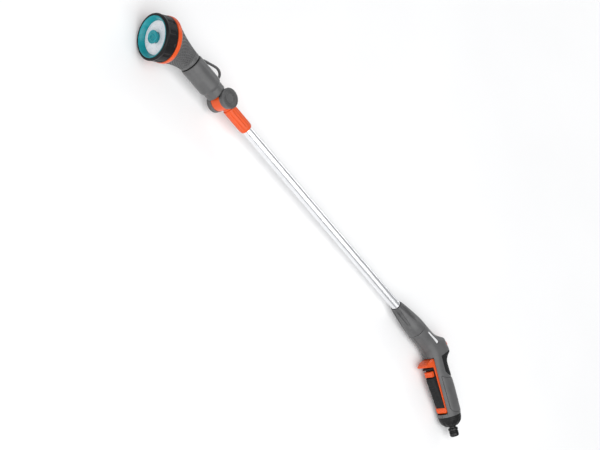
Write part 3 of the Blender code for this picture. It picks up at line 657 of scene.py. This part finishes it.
def funnel_rings(inset, steps, columns):
    """Rings from the tilted back of the head to the round end on the tube's axis, as a grid of points."""
    angle = math.radians(FACE_BEND)
    depth = INDEX_BACK - 0.4
    centre = (FACE_PLACE.x / MM + depth * math.cos(angle), FACE_PLACE.y / MM - depth * math.sin(angle))
    wide, narrow = 35.4 - inset, 17.3 - inset
    tip = (math.sin(angle) * wide, math.cos(angle) * wide)
    front_start = (centre[0] + tip[0], centre[1] + tip[1])
    back_start = (centre[0] - tip[0], centre[1] - tip[1])
    turn = np.linspace(0, TURN, columns, endpoint=False)
    rings = []
    for u in np.linspace(0, 1, steps + 1):
        front = bow(front_start, (-98, -21.4 + inset), (FUNNEL_END, -narrow), u)
        back = bow(back_start, (-116, 17.9 - inset), (FUNNEL_END, narrow), u)
        half = bow((wide,), (19.5 - inset,), (narrow,), u)[0]
        middle = [(a + b) / 2 for a, b in zip(front, back)]
        reach = [(b - a) / 2 for a, b in zip(front, back)]
        rings.append(np.stack([middle[0] + reach[0] * np.cos(turn), middle[1] + reach[1] * np.cos(turn),
                               half * np.sin(turn)], -1))
    return np.array(rings), turn


def funnel():
    """Flared housing whose outside carries fine crossing ribs, with a plain collar at its narrow end."""
    steps, columns = 110, 420
    outside, turn = funnel_rings(0, steps, columns)
    inside, _ = funnel_rings(2.4, steps, columns)
    u = np.linspace(0, 1, steps + 1)[:, None]
    middle = outside.mean(axis=1, keepdims=True)
    radial = outside - middle
    radial /= np.linalg.norm(radial, axis=2, keepdims=True)
    sweep = 1.15 * u ** 0.8
    ribs = np.maximum(np.sin(FUNNEL_RIBS * (turn + sweep)), np.sin(FUNNEL_RIBS * (turn - sweep)))
    band = window(u, 0.03, 0.08, 0.84, 0.89)
    collar = 0.35 * smooth_step(u, 0.90, 0.93) - 0.9 * smooth_step(u, 0.985, 1.0)
    lift = 0.8 * (np.clip(ribs, -0.3, 1) - 0.9) * band + collar
    outside = outside + radial * lift[:, :, None]
    rims = [[row * columns + j for j in range(columns)] for row in (0, steps)]
    return between(outside, inside, rims, True, 50)


def axle_bore():
    """Cutter for the round hole that the hinge axle lies in."""
    return plug(AXLE_BORE_R, -20, 20)


def head_body():
    """Round housing with a stepped shoulder, and two cheeks that hold the hinge."""
    profile = [
        (15.6, BODY_START), (18.0, BODY_START, 0.3), (18.8, -77.4, 0.9), (18.8, -31.5, 2.4),
        (17.7, -28.6, 1.4), (16.2, -27.4, 1.2), (16.2, -16.0, 1.0), (15.0, -14.6, 0.4), (5.9, -14.6),
        (5.9, -33), (15.6, -36),
    ]
    body = in_wand(turned_mesh(profile, 0.3, 128), LANCE)
    middle = (CHEEK_INSIDE + CHEEK_OUTSIDE) / 2
    half = (CHEEK_OUTSIDE - CHEEK_INSIDE) / 2
    web = [(-25, -6.4), (-3, -6.4), (-3, 6.4), (-25, 6.4)]
    cheeks = []
    for side in (-1, 1):
        place = shift(0, 0, side * middle)
        cheeks.append(moved(plug(CHEEK_R, -half, half, 0.5, 96), place))
        cheeks.append(moved(extruded_mesh(web, half - 0.5), place))
    body = boolean(body, cheeks, "UNION")
    room = plug(BARREL_R + 0.5, -CHEEK_INSIDE, CHEEK_INSIDE, segments=96)
    return boolean(body, [room, axle_bore()])


def loop_route():
    """The hanging loop's centreline, as a smooth curve through a few knots."""
    knots = [
        (-66.8, 21.0), (-62.0, 24.5), (-52, 28.8), (-43, 32.6), (-35.5, 34.4), (-29.2, 32.0),
        (-26.2, 26.0), (-26.2, 18.0),
    ]
    route = []
    for a, b, c, d in zip([knots[0]] + knots, knots, knots[1:], knots[2:] + [knots[-1]]):
        for u in np.linspace(0, 1, 10, endpoint=False):
            route.append([0.5 * (2 * q + (r - p) * u + (2 * p - 5 * q + 4 * r - s) * u ** 2
                                 + (3 * q - p - 3 * r + s) * u ** 3) for p, q, r, s in zip(a, b, c, d)])
    route.append(knots[-1])
    return np.array(route)


def hanging_loop():
    """A bar of soft oblong section along the route, thicker where it leaves the housing."""
    route = loop_route()
    count, sides = len(route), 28
    slope = np.gradient(route, axis=0)
    slope /= np.linalg.norm(slope, axis=1, keepdims=True)
    across = np.stack([slope[:, 1], -slope[:, 0]], -1)
    turn = np.linspace(0, TURN, sides, endpoint=False)
    cos, sin = np.cos(turn), np.sin(turn)
    thick = 1.75 * np.sign(cos) * np.abs(cos) ** 0.75
    wide = 2.2 * np.sign(sin) * np.abs(sin) ** 0.75
    swell = 1 + 0.5 * np.exp(-np.arange(count) / 4.0)[:, None]
    x = route[:, :1] + across[:, :1] * thick * swell
    y = route[:, 1:] + across[:, 1:] * thick * swell
    return bar(np.stack([x, y, wide * swell], -1))


def pivot_cap(side):
    """Round hinge cover: a raised rim, a ring of short radial ribs and a flat middle."""
    top, rim = CAP_OUTSIDE, CAP_R[side]
    profile = [
        (0, CHEEK_OUTSIDE + GAP), (rim, CHEEK_OUTSIDE + GAP, 0.3), (rim, top - 0.2, 1.0),
        (rim - 1.6, top, 0.5), (rim - 2.1, top - 0.9, 0.3), (0, top - 0.9),
    ]

    def ribs(angle, radius, height):
        spoke = 1 - smooth_step(spaced(angle, 28) * radius, 0.35, 0.75)
        band = window(radius, 7.4, 7.9, 13.0, 13.5)
        middle = 1 - smooth_step(radius, 5.6, 6.2)
        lift = np.where(height > top - 1.2, 0.65 * spoke * band + 0.45 * middle, 0)
        return 0, np.where(radius < 13.6, lift, 0)

    return turned_mesh(profile, 0.3, 224, 0.45, ribs, solid=True)


# ---------------------------------------------------------------- lance

def lance_sleeve():
    """Orange socket for the tube with soft flutes, joined to the hinge barrel."""
    socket = TUBE_R + GAP
    profile = [
        (4.6, 8), (8.9, 8, 0), (8.9, 16.4, 0), (SLEEVE_R, 17.4, 0.5), (SLEEVE_R, SLEEVE_END - 3.2, 2.6),
        (9.4, SLEEVE_END, 0.5), (socket, SLEEVE_END, 0), (socket, TUBE_START - GAP, 0),
        (4.6, TUBE_START - GAP, 0),
    ]

    def flutes(angle, radius, height):
        across = spaced(angle + TURN / 16, 8) * SLEEVE_R
        groove = 1 - smooth_step(across, 0.2, 2.2)
        ends = window(height, 19, 24, SLEEVE_END - 12, SLEEVE_END - 5)
        return np.where(radius > 9.5, -1.2 * groove * ends, 0), 0

    sleeve = in_wand(turned_mesh(profile, 0.3, 192, 1.2, flutes), LANCE)
    sleeve = boolean(sleeve, [plug(BARREL_R, -BARREL_HALF, BARREL_HALF, 0.4, 128)], "UNION")
    return boolean(sleeve, [axle_bore()])


def lance_tube():
    inside = TUBE_R - 1.0
    profile = [(inside, TUBE_START), (TUBE_R, TUBE_START), (TUBE_R, TUBE_END), (inside, TUBE_END)]
    return turned_mesh(profile, 0.2, 160, 12.0)


def nose_cone():
    """Cone that grips the tube. Six long hollows run back from its open rim and end in points."""
    socket = TUBE_R + GAP
    profile = [
        (9.3, NOSE_START + 0.5, 0.2), (10.5, NOSE_START, 0.4), (12.7, 496, 4), (15.1, 516, 6),
        (16.9, 531, 4), (17.3, 538, 3), (17.3, NOSE_END - 0.1, 0.4), (14.3, NOSE_END), (14.3, 532, 0),
        (socket, 526, 0), (socket, NOSE_START + 2.0, 0),
    ]
    length = 47.0

    def hollows(angle, radius, height):
        travel = np.clip((height - NOSE_START) / length, 0, 1)
        half_angle = math.radians(21) * (1 - travel ** 1.5) ** 0.9
        across = (half_angle - spaced(angle + TURN / 12, 6)) * radius
        inside = smooth_step(across, -0.1, 0.9)
        deep = np.minimum(np.maximum(radius - 9.5, 0), 3.6 * (1 - travel ** 2))
        return np.where(travel < 1, -deep * inside, 0), 0

    return turned_mesh(profile, 0.3, 300, 0.7, hollows)


# ---------------------------------------------------------------- grip

ARC_LENGTH = ARC_RADIUS * math.radians(GRIP_BEND)
BARREL_LENGTH = ARC_START - BARREL_START


def down_barrel(x):
    return x - BARREL_START


def down_elbow(bend):
    return BARREL_LENGTH + ARC_RADIUS * math.radians(bend)


def down_grip(along):
    return BARREL_LENGTH + ARC_LENGTH + along - GRIP_TOP


# Each section: how far down the centreline it is, then its reach to the front, to the back and to each
# side, and how square its back is. A squareness of 2 is an ellipse.
SECTIONS = np.array([
    (down_barrel(BARREL_START), 17.4, 17.0, 17.2, 2.0),
    (down_barrel(560), 17.6, 17.0, 17.2, 2.0),
    (down_barrel(571), 17.6, 16.9, 17.2, 2.1),
    (down_elbow(5.2), 17.8, 18.0, 17.3, 2.6),
    (down_elbow(11.3), 17.9, 22.8, 17.4, 3.6),
    (down_elbow(16.0), 17.7, 28.1, 17.5, 4.6),
    (down_elbow(23.84), 17.4, 28.7, 17.6, 4.6),
    (down_elbow(31.4), 17.7, 30.8, 17.5, 4.2),
    (down_grip(21), 18.2, 25.0, 17.3, 3.2),
    (down_grip(27), 18.5, 21.1, 17.2, 2.5),
    (down_grip(36), 18.8, 19.7, 17.2, 2.3),
    (down_grip(48), 19.0, 20.4, 17.4, 2.3),
    (down_grip(60), 19.0, 21.4, 17.7, 2.3),
    (down_grip(80), 19.0, 21.9, 18.1, 2.3),
    (down_grip(100), 19.0, 21.5, 18.3, 2.3),
    (down_grip(107), 19.0, 20.9, 18.4, 2.3),
    (down_grip(113), 19.1, 20.9, 18.6, 2.3),
    (down_grip(GRIP_END), 19.5, 21.3, 18.9, 2.1),
])


def smooth_curve(at, places, values):
    """Values at any place, on a smooth curve through the listed ones that doesn't overshoot them."""
    places, values = np.asarray(places, float), np.asarray(values, float)
    slopes = np.diff(values, axis=0) / np.diff(places)[:, None]
    tangents = np.vstack([slopes[:1], (slopes[:-1] + slopes[1:]) / 2, slopes[-1:]])
    turning = np.vstack([slopes[:1] * 0 > 0, slopes[:-1] * slopes[1:] <= 0, slopes[-1:] * 0 > 0])
    tangents = np.where(turning, 0, tangents)
    at = np.clip(at, places[0], places[-1])
    k = np.clip(np.searchsorted(places, at) - 1, 0, len(places) - 2)
    gap = (places[k + 1] - places[k])[..., None]
    u = (at - places[k])[..., None] / gap
    return ((2 * u ** 3 - 3 * u ** 2 + 1) * values[k] + (u ** 3 - 2 * u ** 2 + u) * gap * tangents[k]
            + (3 * u ** 2 - 2 * u ** 3) * values[k + 1] + (u ** 3 - u ** 2) * gap * tangents[k + 1])


def centreline(down):
    """The grip's centreline: the point in the wand's plane, and the bend in radians."""
    bend = np.clip((down - BARREL_LENGTH) / ARC_RADIUS, 0, math.radians(GRIP_BEND))
    before = np.minimum(down - BARREL_LENGTH, 0)
    after = np.maximum(down - BARREL_LENGTH - ARC_LENGTH, 0)
    x = ARC_START + before + ARC_RADIUS * np.sin(bend) + after * math.cos(math.radians(GRIP_BEND))
    y = ARC_RADIUS * (np.cos(bend) - 1) - after * math.sin(math.radians(GRIP_BEND))
    return x, y, bend


def grip_points(down, turn, offset):
    """Points on the grip in the wand frame, for arrays of the distance down it, the turn from the front in
    degrees and the height above the surface."""
    down, turn, offset = np.broadcast_arrays(np.asarray(down, float), turn, offset)
    sizes = smooth_curve(down, SECTIONS[:, 0], SECTIONS[:, 1:])
    front, back, side, square = (sizes[..., k] for k in range(4))
    c, s = np.cos(np.radians(turn)), np.sin(np.radians(turn))
    power = 2 / np.where(c > 0, 2.2, square)
    out = np.sign(c) * (np.where(c > 0, front, back) + offset) * np.abs(c) ** power
    wide = np.sign(s) * (side + offset) * np.abs(s) ** power
    x, y, bend = centreline(down)
    return np.stack([x - out * np.sin(bend), y - out * np.cos(bend), wide], -1)


def sheet_solid(outside, inside):
    """A closed solid between two open grids of points."""
    rows, columns = outside.shape[:2]
    border = [(0, j) for j in range(columns)] + [(i, columns - 1) for i in range(1, rows)]
    border += [(rows - 1, j) for j in range(columns - 2, -1, -1)] + [(i, 0) for i in range(rows - 2, 0, -1)]
    ring = [i * columns + j for i, j in border]
    return between(outside, inside, [ring], False, 30)


DEGREE = 0.31                  # about how many millimetres a degree of turn is


def skin(down, turn, low, high, soft, dome=0.0):
    """A piece that lies on the grip, from grids of places down it and turns round it. Its edges are rounded
    over the width `soft`, and a cutter has no such width."""
    edge = np.minimum(down - down[:1], down[-1:] - down)
    edge = np.minimum(edge, np.minimum(turn - turn[:, :1], turn[:, -1:] - turn) * DEGREE)
    drop = np.zeros_like(edge)
    if soft:
        drop = -0.7 * (1 - np.clip(edge / soft, 0, 1)) ** 2 + dome * np.clip(edge / 6, 0, 1)
    return sheet_solid(grip_points(down, turn, high + drop), grip_points(down, turn, low + 0 * down))


def patch(outline, low, high, grow, soft, rows, columns, dome=0.0):
    """A skin between two end curves. The outline gives (turn, start, end) for one half, and the other
    half mirrors it."""
    half = np.array(outline, float)
    turns = np.concatenate([half[:, 0], 360 - half[-2::-1, 0]])
    ends = np.vstack([half[:, 1:], half[-2::-1, 1:]])
    t = np.linspace(turns[0] - grow / DEGREE, turns[-1] + grow / DEGREE, columns)
    limits = down_grip(smooth_curve(t, turns, ends))
    start, end = limits[:, 0] - grow, limits[:, 1] + grow
    v = np.linspace(0, 1, rows)[:, None]
    return skin(start + (end - start) * v, t + 0 * v, low, high, soft, dome)


def badge(side, low, high, grow=0.0, soft=0.8, rows=60, columns=26):
    """The badge strip, whose long edges are curves: at each place down the grip they give a turn."""
    table = np.array(BADGE, float)
    down = np.linspace(table[0, 0] - grow, table[-1, 0] + grow, rows)[:, None]
    edges = smooth_curve(down[:, 0], table[:, 0], table[:, 1:])
    start, end = edges[:, :1] - grow / DEGREE, edges[:, 1:] + grow / DEGREE
    turn = start + (end - start) * np.linspace(0, 1, columns)
    if side < 0:
        turn = 360 - turn[:, ::-1]
    return skin(down + 0 * turn, turn, low, high, soft)


# Outlines of the pieces let into the grip: the turn from the front in degrees, and where they start and end
# there.
PAD_OUTLINE = [(90, 17.5, 45), (96, 16.5, 49), (110, 15.7, 53.2), (140, 15.4, 56.5), (180, 15.4, 57.3)]
PANEL_OUTLINE = [(57, 52, 107), (62, 50.8, 110.5), (70, 52.4, 113), (85, 56, 115.6), (105, 58.4, 117.4),
                 (140, 59.4, 118), (180, 60, 118)]
# The badge: how far down the barrel, and the two turns between which it lies there.
BADGE = [(down_barrel(557.1), 93.5, 104.5), (down_barrel(571), 93.5, 106.5), (down_elbow(5.2), 91.5, 103.5),
         (down_elbow(11.3), 90.3, 96)]


def grip_half(side):
    """One moulded half, with its edges eased along the parting line and at both ends."""
    length = down_grip(GRIP_END)
    down = np.concatenate([[0, 0.2, 0.5], np.linspace(1, length - 0.6, 190), [length - 0.25, length]])
    down = down[:, None]
    turn = np.concatenate([[0.0, 0.5, 1.2], np.linspace(2.2, 177.8, 100), [178.8, 179.5, 180.0]])
    seam = np.minimum(turn, 180 - turn) * DEGREE
    ends = np.minimum(down, length - down)
    ease = -0.35 * (1 - np.clip(seam / 0.5, 0, 1)) ** 2 - 0.4 * (1 - np.clip(ends / 0.6, 0, 1)) ** 2
    turn = turn + 0 * down
    outside = grip_points(down + 0 * turn, turn, ease)
    inside = grip_points(down + 0 * turn, turn, -SHELL_WALL + 0 * ease)
    for grid in (outside, inside):
        grid[..., 2] = np.maximum(grid[..., 2], GAP / 2) * side
    return sheet_solid(outside, inside)


def block_mesh(low, high):
    """A block cutter between two corners, in the grip frame, given in the wand frame."""
    mesh = bpy.data.meshes.new("block")
    work = bmesh.new()
    bmesh.ops.create_cube(work, size=1)
    bmesh.ops.scale(work, vec=(Vector(high) - Vector(low)) * MM, verts=work.verts)
    bmesh.ops.translate(work, vec=(Vector(high) + Vector(low)) / 2 * MM, verts=work.verts)
    work.to_mesh(mesh)
    work.free()
    return in_wand(mesh, GRIP)


def grip_pieces():
    """Both shells with everything that is let into them."""
    cutters = [
        patch(PAD_OUTLINE, -1.8, 4, 0.3, 0, 30, 50),
        patch(PANEL_OUTLINE, -1.7, 4, 0.6, 0, 30, 50),
        block_mesh((5, -SLOT_HALF, 16.5), (45, SLOT_HALF, 115.8)),
        in_wand(plug(11.6, -8, 9, segments=72), DIAL @ shift(0, 0, 8.2)),
    ]
    for name, side in (("near", 1), ("far", -1)):
        room = badge(side, -1.3, 4, 0.6, 0, 20, 8)
        shell = boolean(grip_half(side), [room] + cutters, sharp=28)
        stand_in("handle_shell_" + name, shell, WAND)
        stand_in("badge_strip_" + name, badge(side, -1.0, 0.25), WAND)
    pad = patch(PAD_OUTLINE, -1.5, 0.35, 0, 1.2, 90, 110, 0.25)
    stand_in("rear_grip_pad", pad, WAND)
    panel = patch(PANEL_OUTLINE, -1.4, 0.55, 0, 1.1, 110, 130, 0.2)
    stand_in("rear_panel", panel, WAND)


# ---------------------------------------------------------------- trigger, lock and dial

# Turns an outline of (along, out) points to stand in the grip frame, with its depth to both sides.
SIDE_ON = Matrix(((0, 1, 0, 0), (0, 0, 1, 0), (1, 0, 0, 0), (0, 0, 0, 1)))

# Turns an outline of (across, along) points to face out of the trigger side.
FRONT_ON = Matrix(((0, 0, 1, 0), (1, 0, 0, 0), (0, 1, 0, 0), (0, 0, 0, 1)))

# The spring's fixed end, free length and wire radius, and the plunger's place, in millimetres.
SPRING_SEAT = 3.4
SPRING_LENGTH = 7.8
SPRING_WIRE = 0.35
PLUNGER_ALONG = 70.0


def trigger_front(along):
    """How far out the trigger's frame reaches beside its pad."""
    return 19.0 - (along - 36) * 0.0204


def trigger():
    """Orange lever with a hooked beak and chamfered rails, open in the middle for the pad and the lock."""
    back = [(114.6, 9.2), (111.6, 6.5), (104, 6.5), (98, 9.0), (40, 11.6), (21, 13.4), (17.3, 14.6, 0.8)]
    beak = [
        (17.3, 18.2, 2.0), (18.6, 24.5, 3), (20.8, 30.5, 3), (24.8, 37.0, 0.8), (27.2, 37.0, 0.7),
        (29.0, 31.5, 3), (30.4, 24.5, 3), (31.4, 19.4, 1),
    ]
    foot = [
        (36, trigger_front(36)), (104.0, trigger_front(104)), (106.4, 18.4), (112.4, 17.8, 1.6),
        (114.8, 14.6, 1.2),
    ]
    half = TRIGGER_HALF - SIDE_GAP
    body = extruded_mesh(rounded(back + beak + foot, 1.0), half, 0.5)
    pocket = [
        (30.6, trigger_front(30.6) - 1.6), (30.6, 30), (104.1, 30), (104.1, trigger_front(104.1) - 1.6),
    ]
    channel = [(22, 0), (22, trigger_front(22) - 4.8), (101, trigger_front(101) - 4.8), (101, 0)]
    tools = [extruded_mesh(pocket, PAD_HALF + LIP + 0.2), extruded_mesh(channel, 8.3)]
    tools.append(extruded_mesh(STEM_SLOT, 3.0))
    bore = circle_line(2.3, 32, (TRIGGER_PIVOT.z, TRIGGER_PIVOT.x))
    tools.append(extruded_mesh(bore, 20.0))
    body = moved(boolean(body, tools), SIDE_ON)
    for side in (-1, 1):
        wedge = [(19.8, 9.9 * side), (17.2, 11.2 * side), (19.8, 11.2 * side)]
        body = boolean(body, [moved(extruded_mesh(wedge, 34), shift(0, 0, 68))])
    front = [(-half, 17.2, 4), (half, 17.2, 4), (half, 114.9, 6.5), (-half, 114.9, 6.5)]
    mask = moved(extruded_mesh(rounded(front, 3.0, steps=8), 45), FRONT_ON)
    return boolean(body, [mask], "INTERSECT")


def trigger_pad():
    """Soft finger pad with a rounded crown and faint cross ribs, and a block that stops the lock."""
    knots = [47.9, 49.6, 57, 70, 81, 92, 100.5, 103.8]
    crests = [26.0, 28.5, 28.7, 26.3, 24.3, 22.1, 19.9, 17.7]
    along = np.linspace(knots[0], knots[-1], 150)[:, None]
    across = np.linspace(-1, 1, 61)
    crest = np.interp(along, knots, crests)
    base = trigger_front(along) - 1.3
    round_off = (1 - np.abs(across) ** 3.4) ** 0.42
    ends = np.minimum(along - knots[0], knots[-1] - along)
    rib = 0.16 * np.sin(TURN * along / 4.0) * smooth_step(ends, 5, 9)
    rib = rib * smooth_step(1 - np.abs(across), 0.1, 0.35)
    out = base + 1.6 + (crest - base - 1.6) * round_off + rib
    wide = (PAD_HALF + LIP) * across + 0 * along
    top = np.stack([out, wide, along + 0 * out], -1)
    bottom = np.stack([base + 0 * out, wide, along + 0 * out], -1)
    pad = sheet_solid(top, bottom)
    ledge = [
        (48.6, trigger_front(48.6) - 1.3), (30.9, trigger_front(30.9) - 1.3), (30.9, 22.6),
        (31.8, 27.0, 0.8), (34.3, 27.0, 0.6), (34.3, trigger_front(34.3) + 0.6),
        (48.6, trigger_front(48.6) + 0.6),
    ]
    shelf = extruded_mesh(rounded(ledge, 0.3), PAD_HALF + LIP)
    shelf = moved(boolean(shelf, [extruded_mesh(STEM_SLOT, 3.0)]), SIDE_ON)
    return boolean(pad, [shelf], "UNION")


def trigger_lock():
    """Orange slide button, dished for the thumb, on a stem that runs in the trigger's slot."""
    low = [(along, trigger_front(along) + 0.95) for along in (47.2, 37.5)]
    crown = [
        (37.5, 26.4, 0.8), (38.6, 27.7, 0.5), (39.7, 27.8, 0.5), (42.3, 26.7, 1.5), (44.9, 27.8, 0.5),
        (46.1, 27.7, 0.5), (47.2, 26.4, 0.8),
    ]
    button = extruded_mesh(rounded(low + crown, 0.3), 7.5, 0.7)
    stem = extruded_mesh([(40.2, 13.2), (46.2, 13.2), (46.2, 23), (40.2, 23)], 2.6)
    return moved(boolean(button, [stem], "UNION"), SIDE_ON)


def trigger_spring():
    """The return spring round the valve's plunger."""
    count, sides = 120, 12
    turn = np.linspace(0, 3 * TURN, count)
    round_wire = np.linspace(0, TURN, sides, endpoint=False)
    low, high = SPRING_SEAT + SPRING_WIRE, SPRING_SEAT + SPRING_LENGTH - SPRING_WIRE
    out = np.linspace(low, high, count)[:, None] + SPRING_WIRE * np.sin(round_wire)
    radius = 3.3 + SPRING_WIRE * np.cos(round_wire) + 0 * out
    across = radius * np.cos(turn)[:, None]
    along = PLUNGER_ALONG + radius * np.sin(turn)[:, None]
    spring = stand_in("trigger_spring", bar(np.stack([out, across, along], -1)), GRIP)
    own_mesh(spring)


def flow_dial():
    """Round flow control with a scalloped edge and a raised grip bar."""
    profile = [
        (2.9, 0.5), (10.6, 0.5, 0.3), (11.0, 0.9, 0.3), (11.0, 2.3, 0.4), (10.2, 3.0, 0.4), (0.8, 3.0),
        (0.8, 1.9, 0), (2.9, 1.5, 0),
    ]

    def scallops(angle, radius, height):
        hollow = 1 - smooth_step(spaced(angle, 20) * 11, 0.3, 1.1)
        edge = np.where(radius > 9.4, -0.55 * hollow, 0)
        x, y = radius * np.cos(angle), radius * np.sin(angle)
        bar = (1 - smooth_step(np.abs(x), 1.2, 1.9)) * (1 - smooth_step(np.abs(y), 7.4, 8.2))
        rim = smooth_step(radius, 8.6, 9.0)
        return edge, np.where(height > 2.9, -0.7 * (1 - bar) * (1 - rim), 0)

    return turned_mesh(profile, 0.3, 240, 0.35, scallops)


# ---------------------------------------------------------------- hose end

def end_cap():
    """Screwed collar with broad flats pressed into its cone."""
    profile = [
        (19.1, 122.0, 0.3), (19.8, 122.8, 0.5), (19.3, 127.5, 2.0), (17.8, 132.6, 2.0),
        (15.8, 135.7, 1.5), (12.2, 139.0, 1.2), (10.3, 140.0, 0.4), (7.4, 140.0), (7.4, 135.2, 0),
        (13.2, 134.4, 0), (16.2, 130.4, 0), (16.2, 122.0),
    ]

    def ribs(angle, radius, height):
        hollow = 1 - smooth_step(spaced(angle, 12) * radius, 1.0, 3.2)
        band = window(height, 128.0, 131.0, 137.0, 139.4)
        ring = 1 - smooth_step(np.abs(height - 125.6), 0.15, 0.5)
        outer = radius > np.interp(height, [130.4, 134.4, 136], [16.6, 13.8, 9.0])
        return np.where(outer, -0.7 * hollow * band - 0.35 * ring, 0), 0

    return turned_mesh(profile, 0.3, 216, 0.6, ribs)


def hose_nipple():
    profile = [
        (3.6, 120.2), (6.2, 120.2), (6.2, 124, 0), (11.0, 124.2), (11.0, 131.7), (7.0, 131.9, 0),
        (7.0, 141.0), (6.0, 141.4, 0.3), (6.0, 143.8, 0.4), (8.4, 144.4, 0.3), (8.4, 147.9, 0.4),
        (6.9, 148.7, 0.3), (6.9, 149.3, 0.2), (7.9, 149.5, 0.2), (7.9, 150.3, 0.1), (6.3, 150.35, 0.1),
        (6.3, 152.65, 0.1), (7.9, 152.7, 0.1), (7.9, 156.6, 0.7), (6.8, 158.8, 0.5), (5.4, 158.8, 0.3),
        (4.6, 157.4), (4.6, 133),
    ]
    return turned_mesh(profile, 0.2, 96)


# ---------------------------------------------------------------- putting the wand together

def stand_ins(place, *shapes):
    """Fine pieces in one frame. Each function is named after the CAD node that its piece replaces."""
    for shape in shapes:
        stand_in(shape.__name__, shape(), place)


def build_wand():
    stand_ins(FACE, selector_ring, bezel, spray_plate)
    add_piece("spray_collars", spray_collars(), FACE, "spray_plate")
    stand_ins(FACE, centre_nozzle, index_ring)
    stand_ins(WAND, funnel, head_body, hanging_loop)
    stand_in("pivot_cap_near", pivot_cap("near"), WAND)
    stand_in("pivot_cap_far", pivot_cap("far"), WAND @ Matrix.Rotation(math.pi, 4, "X"))
    stand_ins(WAND, lance_sleeve)
    stand_ins(LANCE, lance_tube, nose_cone)
    grip_pieces()
    stand_ins(GRIP, trigger, trigger_pad, trigger_lock)
    trigger_spring()
    stand_ins(DIAL, flow_dial)
    stand_ins(GRIP, end_cap, hose_nipple)


def finish_carried_nodes():
    """CAD nodes that stay as they are, mostly inside, get their procedural finish."""
    for name, node in frame["nodes"].items():
        if not node.hide_render:
            node.data.materials.clear()
            node.data.materials.append(FINISH[slot_of[name]])


# ---------------------------------------------------------------- studio

# The camera in the wand frame: where it stands, and its right, up and back directions.
CAMERA_PLACE = Vector((-0.92023, -1.50645, 1.78838))
CAMERA_RIGHT = Vector((0.5832, 0.4019, 0.7059))
CAMERA_UP = Vector((-0.6777, 0.7198, 0.1501))
CAMERA_LENS = 97.2


def build_camera():
    data = bpy.data.cameras.new("camera")
    data.lens = CAMERA_LENS
    data.sensor_width = 36
    data.clip_end = 100
    camera = linked("camera", data)
    back = CAMERA_RIGHT.cross(CAMERA_UP)
    camera.matrix_world = WAND @ framed(CAMERA_RIGHT, CAMERA_UP, back, CAMERA_PLACE)
    bpy.context.scene.camera = camera


def area_light(name, place, size, power):
    """A rectangular light that faces the middle of the wand."""
    data = bpy.data.lights.new(name, "AREA")
    data.shape = "RECTANGLE"
    data.size, data.size_y = size
    data.energy = power
    light = linked(name, data)
    light.location = place
    light.rotation_euler = (-Vector(place)).to_track_quat("-Z", "Y").to_euler()


def build_studio():
    mesh = bpy.data.meshes.new("floor")
    work = bmesh.new()
    bmesh.ops.create_grid(work, x_segments=8, y_segments=8, size=12)
    work.to_mesh(mesh)
    work.free()
    floor = linked("floor", mesh)
    mesh.materials.append(paper("floor_paper"))

    world = bpy.data.worlds.new("studio")
    world.use_nodes = True
    sky = world.node_tree.nodes["Background"]
    sky.inputs["Color"].default_value = (0.97, 0.98, 1.0, 1)
    sky.inputs["Strength"].default_value = 0.40
    bpy.context.scene.world = world

    area_light("softbox", (0, -1.0, 2.0), (3.0, 2.6), 52)
    area_light("front_low", (-0.5, -2.2, 0.4), (2.4, 0.4), 12)
    area_light("back", (0.3, 1.8, 0.9), (2.0, 0.5), 8)


build_wand()
finish_carried_nodes()
build_camera()
build_studio()
bpy.context.scene.view_settings.view_transform = "Standard"
